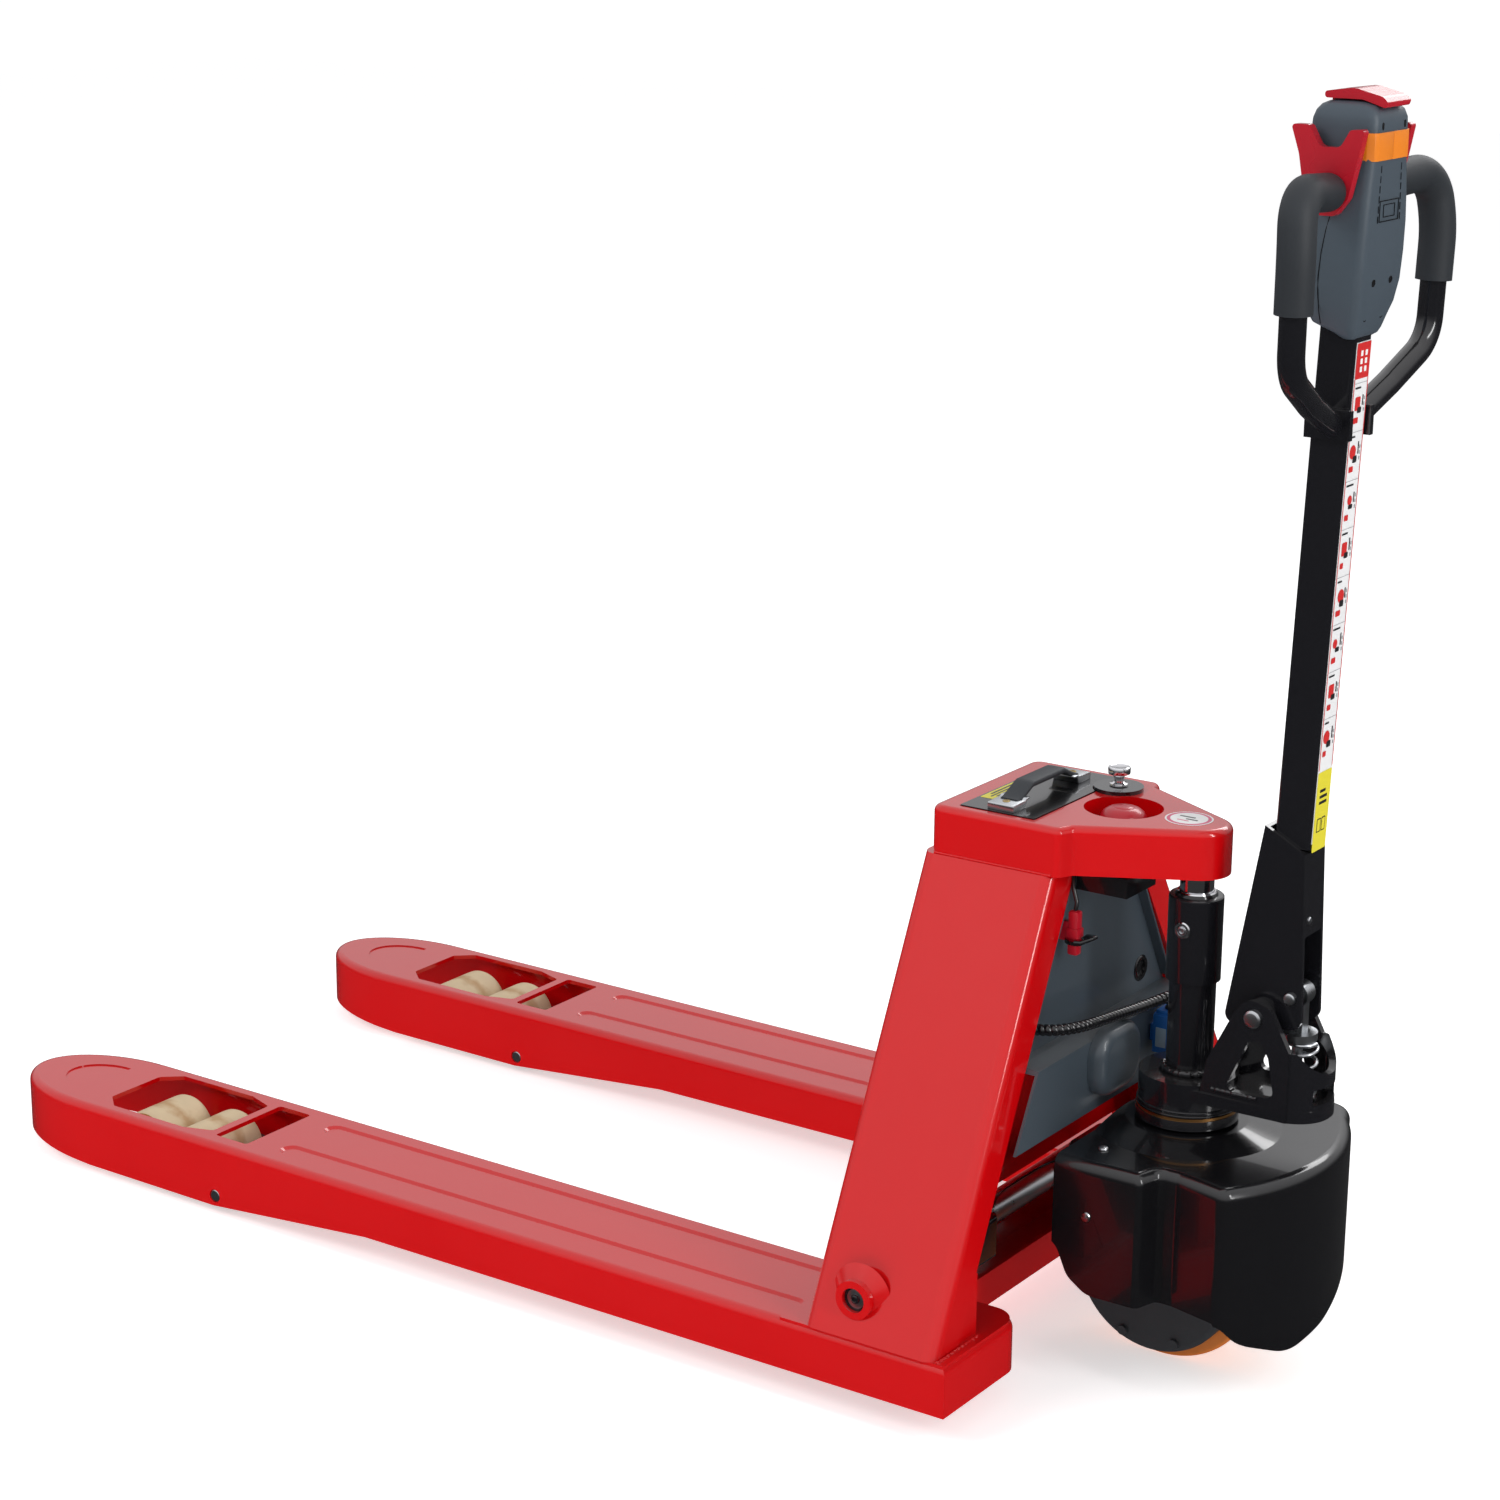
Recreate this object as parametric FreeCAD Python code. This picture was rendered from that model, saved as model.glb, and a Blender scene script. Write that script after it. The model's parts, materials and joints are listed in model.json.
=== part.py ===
"""Walkie electric pallet truck: fork frame, lift and load-roller linkage, steered drive unit, tiller.

Frame: +X points from the fork tips to the tiller, +Z is up, z = 0 is the floor, y = 0 is the mid-plane.
Lengths are millimetres. Stations along X are counted from the fork tips and turned into X by at().
The operator's left hand side is -Y.
"""
import FreeCAD
import Part
import math
import os

V = FreeCAD.Vector

# ---------------------------------------------------------------- driving dimensions
OVERALL_LENGTH = 1538.7
FORKS_WIDTH = 685.0
FORK_WIDTH = 150.0
FORK_TOP = 84.0
FORK_END = 1302.0
HEEL_CORNER_R = 30.0
HEEL_PAD = (1110.0, 1.0)
PLATE = 5.0
TIP_LENGTH = 130.0
FORK_Y = (FORKS_WIDTH - FORK_WIDTH) / 2

ROLLER_R = 37.5
ROLLER_HALF_WIDTH = 38.0
ROLLER_STATIONS = {"front": 205.0, "rear": 283.0}
BOGIE_STATION = 244.0
ARM_PIVOT = (348.0, 22.0)
ARM_LEVER = 35.0
ARM_TURN = math.radians(79.7)
ROCKER_PIVOT = (1191.0, 122.0)
ROCKER_LEVER = 66.0
ROCKER_TURN = math.radians(32.5)
ROCKER_SHAFT_R = 12.5
YOKE_SWEEP_R = 191.0
RUN_CLEARANCE = 0.06

UPRIGHT_FRONT = 1138.0
UPRIGHT_REAR = 1288.0
UPRIGHT_DEPTH = 48.0
UPRIGHT_TOP = 508.0
UPRIGHT_LEAN_X = -20.0
UPRIGHT_LEAN_Y = 236.5
FOOT_DEPTH = 86.0
FOOT_TOP = 148.0

HOOD_TOP = 558.0
HOOD_BOTTOM = 508.0
HOOD_HALF_WIDTH = 105.0
HOOD_START = 1125.0
HOOD_NECK = (1273.0, 1281.0, 88.0)
HOOD_APEX = 1443.0
BATTERY = (1152.0, 1237.0, 90.0)
BATTERY_BOTTOM = 352.0
HANDLE_STATION = 1196.0
HANDLE_Y = (-69.0, 53.0)
STOP_STATION = 1288.0
STOP_R = 40.0
LATCH = (1252.0, 55.0)
LATCH_PLATE_R = 25.5

STEER = 1373.0
WHEEL_R = 100.0
WHEEL_HALF_WIDTH = 35.0
ROD_R = 17.0
CYLINDER_R = 27.5
CYLINDER_LOW_R = 23.5
CYLINDER_TOP = 484.0
BASE_TOP = 300.0
BASE_BOTTOM = 265.0
HOUSING_BOTTOM = 252.0
NECK_R = 35.0
COVER_TOP = 240.0
COVER_WALL = 3.0
COVER_REAR = 1306.0
COVER_HALF_WIDTH = 150.0
LOBE_ARC = (1310.0, 222.0)

TILLER_PIVOT = (1460.0, 383.0)
SPRING_PIN = (1490.0, 405.0)
SPRING_STATION = 1495.0
TUBE_BOTTOM = (1480.0, 545.0)
TUBE_TOP = (1500.0, 1085.0)
TUBE_SIZE = 38.0
HEAD_BOTTOM = 1050.0
HEAD_TOP = 1262.0
ARM_ROOT = (1498.0, 1184.0)
LOOP_RADII = [34, 150, 40, 80]
PUSH_TRAVEL = 3.5

HARNESS_R = 6.0
HARNESS_ROUTE = [(1244, -126, 354), (1276, -124, 355), (1299, -98, 356), (1301, -50, 351), (1301, 5, 344),
                 (1303, 56, 339), (1313, 82, 343), (1308, 80, 322)]

X_TIP = -OVERALL_LENGTH / 2


# ---------------------------------------------------------------- small shape helpers
def at(station):
    """X of a station counted from the fork tips."""
    return X_TIP + station


def block(x0, x1, y0, y1, z0, z1):
    """Box between two stations, two Y values and two heights."""
    return Part.makeBox(x1 - x0, y1 - y0, z1 - z0, V(at(x0), y0, z0))


def bar_x(x0, x1, y, z, r):
    return Part.makeCylinder(r, x1 - x0, V(at(x0), y, z), V(1, 0, 0))


def bar_y(x, y0, y1, z, r):
    return Part.makeCylinder(r, y1 - y0, V(at(x), y0, z), V(0, 1, 0))


def bar_z(x, y, z0, z1, r):
    return Part.makeCylinder(r, z1 - z0, V(at(x), y, z0), V(0, 0, 1))


def rounded_wire(points, radii):
    """Closed wire through the points, each corner rounded by a tangent arc of its radius."""
    count = len(points)
    if not isinstance(radii, (list, tuple)):
        radii = [radii] * count
    edges = []
    starts = []
    ends = []
    mids = []
    for i, corner in enumerate(points):
        before = (points[i - 1] - corner).normalize()
        after = (points[(i + 1) % count] - corner).normalize()
        half = before.getAngle(after) / 2
        if radii[i] <= 0:
            starts.append(corner)
            ends.append(corner)
            mids.append(None)
            continue
        reach = radii[i] / math.tan(half)
        starts.append(corner + before * reach)
        ends.append(corner + after * reach)
        middle = (before + after).normalize()
        mids.append(corner + middle * (radii[i] / math.sin(half) - radii[i]))
    for i in range(count):
        if mids[i] is not None:
            edges.append(Part.Arc(starts[i], mids[i], ends[i]).toShape())
        follower = (i + 1) % count
        if (ends[i] - starts[follower]).Length > 1e-6:
            edges.append(Part.LineSegment(ends[i], starts[follower]).toShape())
    return Part.Wire(edges)


def plan(points, radii, z0, z1):
    """Prism of a rounded outline given as (station, y), between two heights."""
    wire = rounded_wire([V(at(x), y, z0) for x, y in points], radii)
    return Part.Face(wire).extrude(V(0, 0, z1 - z0))


def side_plate(points, radii, y0, y1):
    """Prism of a rounded outline given as (station, z), between two Y values."""
    wire = rounded_wire([V(at(x), y0, z) for x, z in points], radii)
    return Part.Face(wire).extrude(V(0, y1 - y0, 0))


def cross_plate(points, radii, x0, x1):
    """Prism of a rounded outline given as (y, z), between two stations."""
    wire = rounded_wire([V(at(x0), y, z) for y, z in points], radii)
    return Part.Face(wire).extrude(V(x1 - x0, 0, 0))


def link(first, r_first, second, r_second, y0, y1):
    """Flat link with two round ends, given as (station, z) centres."""
    along = V(second[0] - first[0], 0, second[1] - first[1]).normalize()
    across = V(-along.z, 0, along.x)
    corners = []
    for centre, r in ((first, r_first), (second, r_second)):
        for sign in (1, -1):
            corners.append((centre[0] + sign * r * across.x, centre[1] + sign * r * across.z))
    body = side_plate([corners[0], corners[1], corners[3], corners[2]], 0, y0, y1)
    body = body.fuse(bar_y(first[0], y0, y1, first[1], r_first))
    return body.fuse(bar_y(second[0], y0, y1, second[1], r_second)).removeSplitter()


def mirrored(shape):
    return shape.mirror(V(0, 0, 0), V(0, 1, 0))


def round_edges(shape, radius, wanted):
    """Fillet the edges whose centre point satisfies wanted(edge)."""
    edges = [edge for edge in shape.Edges if wanted(edge)]
    return shape.makeFillet(radius, edges) if edges else shape


def level_at(edge, z, tolerance=0.01):
    box = edge.BoundBox
    return abs(box.ZMin - z) < tolerance and abs(box.ZMax - z) < tolerance


def polar(centre, radius, angle):
    """Point (station, z) at an angle from the downward direction, positive towards +X."""
    return (centre[0] + radius * math.sin(angle), centre[1] - radius * math.cos(angle))


def pipe(points, radii, r_out, r_in=0.0):
    """Round tube swept along straight runs joined by tangent arcs (open path of vectors)."""
    edges = []
    previous = points[0]
    for i in range(1, len(points) - 1):
        corner = points[i]
        before = (points[i - 1] - corner).normalize()
        after = (points[i + 1] - corner).normalize()
        half = before.getAngle(after) / 2
        reach = radii[i - 1] / math.tan(half)
        start = corner + before * reach
        end = corner + after * reach
        middle = corner + (before + after).normalize() * (radii[i - 1] / math.sin(half) - radii[i - 1])
        if (start - previous).Length > 1e-6:
            edges.append(Part.LineSegment(previous, start).toShape())
        edges.append(Part.Arc(start, middle, end).toShape())
        previous = end
    if (points[-1] - previous).Length > 1e-6:
        edges.append(Part.LineSegment(previous, points[-1]).toShape())
    path = Part.Wire(edges)
    direction = (points[1] - points[0]).normalize()

    def swept(radius):
        ring = Part.Wire([Part.Circle(points[0], direction, radius).toShape()])
        return path.makePipeShell([ring], True, True)

    return swept(r_out) if r_in <= 0 else swept(r_out).cut(swept(r_in))


def upright_y(z):
    """Outer face of an upright, distance from the mid-plane at a height."""
    return FORKS_WIDTH / 2 - UPRIGHT_LEAN_Y * (z - FORK_TOP) / (UPRIGHT_TOP - FORK_TOP)


# ---------------------------------------------------------------- fork frame
def fork_outline(inset):
    """Plan of the left fork at y = 0: straight sides, a half-ellipse tip, a rounded inner heel corner."""
    long_axis = TIP_LENGTH - inset
    half = FORK_WIDTH / 2 - inset
    centre = V(at(TIP_LENGTH), 0, 0)
    ellipse = Part.Ellipse(centre - V(long_axis, 0, 0), centre + V(0, half, 0), centre)
    nose = Part.ArcOfEllipse(ellipse, -math.pi / 2, math.pi / 2).toShape()
    end = at(FORK_END - inset)
    r = HEEL_CORNER_R - inset
    turn = V(end - r, half - r, 0)
    corner = Part.Arc(turn + V(0, r, 0), turn + V(r, r, 0) / math.sqrt(2), turn + V(r, 0, 0)).toShape()
    a = V(at(TIP_LENGTH), half, 0)
    c = V(end, -half, 0)
    d = V(at(TIP_LENGTH), -half, 0)
    runs = ((a, turn + V(0, r, 0)), (turn + V(r, 0, 0), c), (c, d))
    sides = [Part.LineSegment(p, q).toShape() for p, q in runs]
    return Part.Face(Part.Wire(Part.__sortEdges__([nose, corner] + sides)))


def groove(y):
    """Shallow pressed groove with round ends and sloping flanks."""
    depth = 2.5
    wires = []
    for half, z in ((9.0, FORK_TOP - depth), (13.0, FORK_TOP + 0.01)):
        corners = [V(at(x), y + s * half, z) for x, s in ((430 - half, -1), (1100 + half, -1),
                                                         (1100 + half, 1), (430 - half, 1))]
        wires.append(rounded_wire(corners, half - 0.01))
    return Part.makeLoft(wires, True)


def fork():
    """Open-bottom channel with a rounded tip, roller opening, window, grooves and lever slot."""
    outer = fork_outline(0).extrude(V(0, 0, FORK_TOP))
    outer = round_edges(outer, 9.0, lambda e: level_at(e, FORK_TOP) and e.BoundBox.XMax < at(FORK_END) - 1)
    pad_start, pad = HEEL_PAD
    heel = fork_outline(3).extrude(V(0, 0, FORK_TOP + pad)).common(block(pad_start, 1400, -90, 90, 70, 90))
    outer = outer.fuse(heel)
    outer = outer.cut(fork_outline(PLATE).extrude(V(0, 0, FORK_TOP - PLATE)))
    underside = [(-10, -10), (-10, 24), (10, 20), (150, 11), (345, 10), (570, 30), (1312, 32), (1312, -10)]
    outer = outer.cut(side_plate(underside, 0, -90, 90))
    opening = [(154, -38), (176, -57), (285, -57), (320, -45), (320, 45), (285, 57), (176, 57), (154, 38)]
    outer = outer.cut(plan(opening, 5, 60, 100))
    outer = outer.cut(plan([(331, -53), (378, -53), (378, 53), (331, 53)], 4, 60, 100))
    for y in (-36, 36):
        outer = outer.cut(groove(y))
    recess = Part.Ellipse(V(at(52), 0, 82.6), V(at(104), 38, 82.6), V(at(104), 0, 82.6))
    recess = Part.Face(Part.Wire([recess.toShape()])).extrude(V(0, 0, 5))
    outer = outer.cut(recess.common(block(40, 108, -60, 60, 80, 90)))
    outer = outer.cut(plan([(1150, -14), (1240, -14), (1240, 14), (1150, 14)], 4, 60, 100))
    return outer.cut(bar_y(ARM_PIVOT[0], -90, 90, ARM_PIVOT[1], 7.5 + RUN_CLEARANCE))


def load_arm_pins(y):
    return bar_y(ARM_PIVOT[0], y - 74.9, y + 74.9, ARM_PIVOT[1], 7.5)


def upright():
    """Left upright: folded C channel leaning towards the mid-plane, with the rocker shaft's boss ring."""
    y_out = -FORKS_WIDTH / 2
    y_in = y_out + UPRIGHT_DEPTH
    wall = 6.0
    foot = FORK_TOP + HEEL_PAD[1]
    lean = V(UPRIGHT_LEAN_X, UPRIGHT_LEAN_Y, UPRIGHT_TOP - FORK_TOP)
    section = [(UPRIGHT_FRONT, y_out), (UPRIGHT_REAR, y_out), (UPRIGHT_REAR, y_in), (UPRIGHT_FRONT, y_in)]
    hollow = [(UPRIGHT_FRONT + wall, y_out + wall), (UPRIGHT_REAR - wall, y_out + wall),
              (UPRIGHT_REAR - wall, y_in + 1), (UPRIGHT_FRONT + wall, y_in + 1)]
    outer = Part.Face(rounded_wire([V(at(x), y, FORK_TOP) for x, y in section], [14, 14, 0, 0]))
    inner = Part.Face(rounded_wire([V(at(x), y, FORK_TOP) for x, y in hollow], [8, 8, 0, 0]))
    shape = outer.extrude(lean).cut(inner.extrude(lean * 0.985))
    gusset = [(y_in - 12, FORK_TOP), (y_out + FOOT_DEPTH, FORK_TOP), (y_out + FOOT_DEPTH, FOOT_TOP),
              (-upright_y(FOOT_TOP) + UPRIGHT_DEPTH - 12, FOOT_TOP)]
    shape = shape.fuse(cross_plate(gusset, 0, UPRIGHT_REAR - wall - 3, UPRIGHT_REAR - 3))
    x, z = ROCKER_PIVOT
    face_y = upright_y(z)
    ring = bar_y(x, -face_y - 12, -face_y + 14, z, 20)
    flare = Part.makeCone(38, 20, 14, V(at(x), -face_y + 9, z), V(0, -1, 0))
    shape = shape.fuse(ring).fuse(flare.cut(block(1100, 1300, -face_y + 5, -200, 80, 200)))
    shape = shape.cut(block(1100, 1300, y_out - 30, y_out + 200, FORK_TOP - 60, foot))
    return shape.cut(bar_y(x, -345, -270, z, ROCKER_SHAFT_R + RUN_CLEARANCE)).removeSplitter()


def hood_outline(inset):
    """Plan of the hood: a rectangle over the battery, a short neck and a round-ended nose."""
    w = HOOD_HALF_WIDTH - inset
    shoulder, neck, neck_y = HOOD_NECK
    half = [(HOOD_START + inset, -w), (shoulder - inset, -w), (neck - inset, -neck_y + inset * 0.6)]
    points = half + [(HOOD_APEX - 2 * inset, 0)] + [(x, -y) for x, y in reversed(half)]
    radii = [14 - inset / 2, 9 - inset / 2, 8 + inset / 2]
    return points, radii + [34 - inset] + radii[::-1]


def hood():
    """Sheet hood with battery hole, stop-button well and a socket for the piston rod."""
    wall = 4.0
    points, radii = hood_outline(0)
    shape = plan(points, radii, HOOD_BOTTOM, HOOD_TOP)
    shape = round_edges(shape, 7.5, lambda e: level_at(e, HOOD_TOP))
    points, radii = hood_outline(wall)
    shape = shape.cut(plan(points, radii, HOOD_BOTTOM - 1, HOOD_TOP - wall))
    x0, x1, half = BATTERY
    hole = plan([(x0 - 1, -half - 1), (x1 + 1, -half - 1), (x1 + 1, half + 1), (x0 - 1, half + 1)],
                2, HOOD_TOP - 10, HOOD_TOP + 5)
    shape = shape.cut(hole.cut(bar_z(LATCH[0], LATCH[1], HOOD_TOP - 20, HOOD_TOP + 10, LATCH_PLATE_R)))
    well_floor = HOOD_TOP - 24
    shape = shape.cut(bar_z(STOP_STATION, 0, HOOD_TOP - 10, HOOD_TOP + 1, STOP_R))
    well = bar_z(STOP_STATION, 0, well_floor - 3, HOOD_TOP - 1, STOP_R + 3)
    well = well.cut(bar_z(STOP_STATION, 0, well_floor, HOOD_TOP, STOP_R))
    shape = shape.fuse(well.cut(bar_z(STOP_STATION, 0, well_floor - 5, well_floor + 1, 8.2)))
    socket = bar_z(STEER, 0, HOOD_TOP - 30, HOOD_TOP - 2, 24)
    shape = shape.fuse(socket.cut(bar_z(STEER, 0, HOOD_TOP - 40, HOOD_TOP - 8, ROD_R)))
    return shape.cut(bar_z(LATCH[0], LATCH[1], HOOD_TOP - 8, HOOD_TOP + 1, 4.5)).removeSplitter()


def cross_member():
    """Folded box member that ties the two forks under the battery bay."""
    half = FORKS_WIDTH / 2 - FORK_WIDTH
    shape = block(1146, 1216, -half, half, 42, 47)
    shape = shape.fuse(block(1211, 1216, -half, half, 47, 78))
    return shape.fuse(block(1146, 1151, -half, half, 47, 108))


def front_plate():
    """Load-side plate of the battery bay, between the two uprights."""
    low, high = 112.0, UPRIGHT_TOP - 1
    slope = UPRIGHT_LEAN_X / (UPRIGHT_TOP - FORK_TOP)
    front = UPRIGHT_FRONT + 5
    sheet = side_plate([(front + slope * (low - FORK_TOP), low), (front + 4 + slope * (low - FORK_TOP), low),
                        (front + 4 + slope * (high - FORK_TOP), high), (front + slope * (high - FORK_TOP), high)],
                       0, -300, 300)
    outline = [(-upright_y(low) + UPRIGHT_DEPTH + 1, low), (upright_y(low) - UPRIGHT_DEPTH - 1, low),
               (56, high), (-56, high)]
    return sheet.common(cross_plate(outline, 0, 1100, 1170))


def rear_panel():
    """Grey pressed panel behind the battery, with folded wings and a cable hole."""
    low, high = 328.0, UPRIGHT_TOP - 8
    gauge = 3.0
    side_gap = UPRIGHT_DEPTH + 1

    def trapezium(inset, x0, x1):
        outline = [(-upright_y(low) + side_gap + inset, low), (upright_y(low) - side_gap - inset, low),
                   (upright_y(high) - side_gap - inset, high), (-upright_y(high) + side_gap + inset, high)]
        return cross_plate(outline, 0, x0, x1)

    shape = trapezium(0, 1256, 1270).cut(trapezium(gauge, 1256 + gauge, 1290).fuse(
        block(1256 + gauge, 1290, -300, 300, low - 1, low + 6)))
    shape = shape.cut(bar_x(1240, 1300, HARNESS_ROUTE[0][1], HARNESS_ROUTE[0][2], HARNESS_R + 3.5))
    return shape.cut(bar_x(1250, 1300, 105, 353, 12))


def pump_tray():
    """Grey folded tray across the uprights that carries the pump."""
    low, high = 250.0, 326.0
    gauge = 3.0
    outline = [(1258, 322), (1287, 322), (1287, low), (1290, low), (1290, high), (1268, high + 2), (1258, high + 2)]
    sheet = side_plate(outline, 0, -220, 220)
    limit = [(-upright_y(low) + 51, low - 1), (upright_y(low) - 51, low - 1),
             (upright_y(high) - 51, high + 3), (-upright_y(high) + 51, high + 3)]
    return sheet.common(cross_plate(limit, 0, 1200, 1300))


def pump_motor():
    """Hydraulic pump motor: round body under the tray with its end bell standing out of the face."""
    outline = [(-60, 264), (27, 264), (27, 336), (-60, 336)]
    shape = cross_plate(outline, 30, 1290.2, 1308)
    return round_edges(shape, 12, lambda e: abs(e.BoundBox.XMin - at(1308)) < 0.01)


def motor_controller():
    """Controller block hung under the hood."""
    return block(1270.2, 1327, -60, 0, 485, 505)


def battery_pack():
    """Lift-out battery: plain case with a flush lid."""
    x0, x1, half = BATTERY
    reach = LATCH[0] - LATCH_PLATE_R - 2.5
    case = block(x0 + 2, reach, -half + 6, half - 6, UPRIGHT_TOP + 3, HOOD_TOP - 3)
    lower = block(x0 + 2, reach, -56, 56, BATTERY_BOTTOM, UPRIGHT_TOP + 3)
    lid = plan([(x0, -half), (x1, -half), (x1, half), (x0, half)], 2, HOOD_TOP - 3, HOOD_TOP + 1)
    lid = lid.cut(bar_z(LATCH[0], LATCH[1], HOOD_TOP - 5, HOOD_TOP + 5, LATCH_PLATE_R + 1))
    return case.fuse(lower).fuse(lid).removeSplitter()


def battery_handle():
    """Arched carry handle along Y, flat in section."""
    x = HANDLE_STATION
    low = HOOD_TOP + 1 + 3
    y0, y1 = HANDLE_Y
    outer = [(y0 + 8, low), (y0 + 34, low + 12), (y1 - 34, low + 12), (y1 - 8, low), (y1 - 8, low + 5),
             (y1 - 32, low + 18), (y0 + 32, low + 18), (y0 + 8, low + 5)]
    return cross_plate(outer, [0, 26, 26, 0, 0, 32, 32, 0], x - 11, x + 11)


def handle_brackets():
    """Two folded brackets that hold the handle's ends, each with a screw."""
    x = HANDLE_STATION
    top = HOOD_TOP + 1
    shape = []
    for y in HANDLE_Y:
        cap = block(x - 15, x + 15, y - 17, y + 17, top, top + 9.5)
        cap = cap.cut(battery_handle())
        shape.append(cap.cut(bar_z(x, y + math.copysign(5, y), top + 7, top + 20, 4)))
    return Part.makeCompound(shape)


def latch_plate():
    """Round plate under the latch knob."""
    x, y = LATCH
    shape = bar_z(x, y, HOOD_TOP, HOOD_TOP + 4, LATCH_PLATE_R)
    return shape.cut(bar_z(x, y, HOOD_TOP - 1, HOOD_TOP + 5, 4.5))


def latch_knob():
    """Waisted turned knob with the stem that locks the battery."""
    x, y = LATCH
    base = HOOD_TOP + 4.3
    knob = bar_z(x, y, base, base + 3, 9)
    knob = knob.fuse(bar_z(x, y, base + 3, base + 12, 5.5))
    knob = knob.fuse(bar_z(x, y, base + 12, base + 20, 11.5))
    knob = round_edges(knob, 2.5, lambda e: level_at(e, base + 20) or level_at(e, base + 12))
    stem = bar_z(x, y, HOOD_TOP - 26, base, 4.4)
    return knob.fuse(stem)


def stop_switch():
    """Contact block of the stop button, clamped under the well."""
    floor = HOOD_TOP - 24 - 3
    shape = block(STOP_STATION - 14, STOP_STATION + 14, -14, 14, floor - 22, floor)
    return shape.cut(bar_z(STOP_STATION, 0, floor - 12, floor + 1, 8.2))


def stop_button():
    """Mushroom push button."""
    floor = HOOD_TOP - 24
    stem = bar_z(STOP_STATION, 0, floor - 8, floor + 12, 8)
    cap = bar_z(STOP_STATION, 0, floor + 9, floor + 26, 23.5)
    cap = round_edges(cap, 7, lambda e: level_at(e, floor + 26))
    return stem.fuse(cap)


def harness():
    """Wrapped cable loom from the left upright across the tray to the blue connector."""
    points = [V(at(x), y, z) for x, y, z in HARNESS_ROUTE]
    radii = []
    for i in range(1, len(points) - 1):
        before = points[i - 1] - points[i]
        after = points[i + 1] - points[i]
        shorter = min(before.Length, after.Length)
        turn = math.pi - before.getAngle(after)
        radii.append(0.45 * shorter / math.tan(turn / 2))
    return pipe(points, radii, HARNESS_R)


def harness_connector():
    """Blue plug body at the loom's end, standing on its bracket."""
    x, y, z = HARNESS_ROUTE[-1]
    plug = block(x - 12, x + 8, y - 14, y + 14, z - 42, z)
    return plug.fuse(block(1290.2, x - 12, y - 8, y + 8, z - 34, z - 14))


def fuse_holder():
    """Red fuse body on a strap in front of the rear panel."""
    body = block(1272, 1284, -80, -68, 422, 468)
    return body.fuse(block(1259.1, 1272, -79, -69, 436, 456))


def piston_rod():
    return bar_z(STEER, 0, 325, HOOD_TOP - 8, ROD_R)


def rocker_shaft():
    x, z = ROCKER_PIVOT
    reach = upright_y(z) + 7
    return bar_y(x, -reach, reach, z, ROCKER_SHAFT_R)


# ---------------------------------------------------------------- lift linkage
def rocker():
    """Tube on the rocker shaft with two arched yoke arms and one lever down into each fork."""
    x, z = ROCKER_PIVOT
    shape = bar_y(x, -290, 290, z, ROCKER_SHAFT_R + 1.8)
    pin = polar(ROCKER_PIVOT, ROCKER_LEVER, ROCKER_TURN / 2)
    for side in (-1, 1):
        y = side * FORK_Y
        shape = shape.fuse(link((x, z), 18, pin, 9, y - 5, y + 5))
        shape = shape.fuse(bar_y(pin[0], y - 12, y + 12, pin[1], 6))
    arch = [(x - 15, z - 12), (x - 15, z + 15), (x + 8, z + 22), (x + 38, z + 24), (x + 38, z - 20), (x + 16, z - 25)]
    channel = [(x - 30, z + 8), (x + 10, z + 15), (x + 34, z + 17), (x + 34, z - 14), (x + 14, z - 18), (x - 30, z - 8)]
    for side in (-1, 1):
        y0, y1 = sorted((side * 116, side * 172))
        recess = sorted((side * 158, side * 180))
        arm = side_plate(arch, [4, 10, 20, 4, 4, 24], y0, y1)
        shape = shape.fuse(arm.cut(side_plate(channel, 2, *recess)).fuse(bar_y(x, y0, y1, z, 17)))
    shape = shape.cut(bar_z(STEER, 0, z - 40, z + 40, YOKE_SWEEP_R))
    shape = shape.cut(bar_y(x, -300, 300, z, ROCKER_SHAFT_R + RUN_CLEARANCE))
    return shape.removeSplitter()


def arm_lever_pin():
    return (ARM_PIVOT[0] + ARM_LEVER * math.sin(ARM_TURN / 2), ARM_PIVOT[1] + ARM_LEVER * math.cos(ARM_TURN / 2))


def push_rod(y):
    """Rod inside the fork from the rocker lever to the load arm; its rear eye is an upright slot."""
    near = arm_lever_pin()
    far = polar(ROCKER_PIVOT, ROCKER_LEVER, ROCKER_TURN / 2)
    eye = bar_y(near[0], y - 9, y + 9, near[1], 11)
    along = V(far[0] - 34 - near[0], 0, far[1] - 4 - near[1])
    rod = Part.makeCylinder(8, along.Length, V(at(near[0]), y, near[1]), along)
    slot_low = far[1] - 14
    slot_half = 9.0
    head = block(far[0] - 17, far[0] + 16, y - 13, y + 13, slot_low - 14, far[1] + 12)
    neck = block(far[0] - 44, far[0] - 15, y - 11, y + 11, slot_low - 6, far[1] + 8)
    shape = eye.fuse(rod).fuse(neck).fuse(head)
    shape = shape.cut(block(far[0] - 23, far[0] + 24, y - 6.5, y + 6.5, 0, 78))
    slot = block(far[0] - slot_half, far[0] + slot_half, y - 20, y + 20, slot_low, far[1])
    for level in (slot_low, far[1]):
        slot = slot.fuse(bar_y(far[0], y - 20, y + 20, level, slot_half))
    shape = shape.cut(slot)
    return shape.cut(bar_y(near[0], y - 20, y + 20, near[1], 6 + RUN_CLEARANCE)).removeSplitter()


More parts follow.
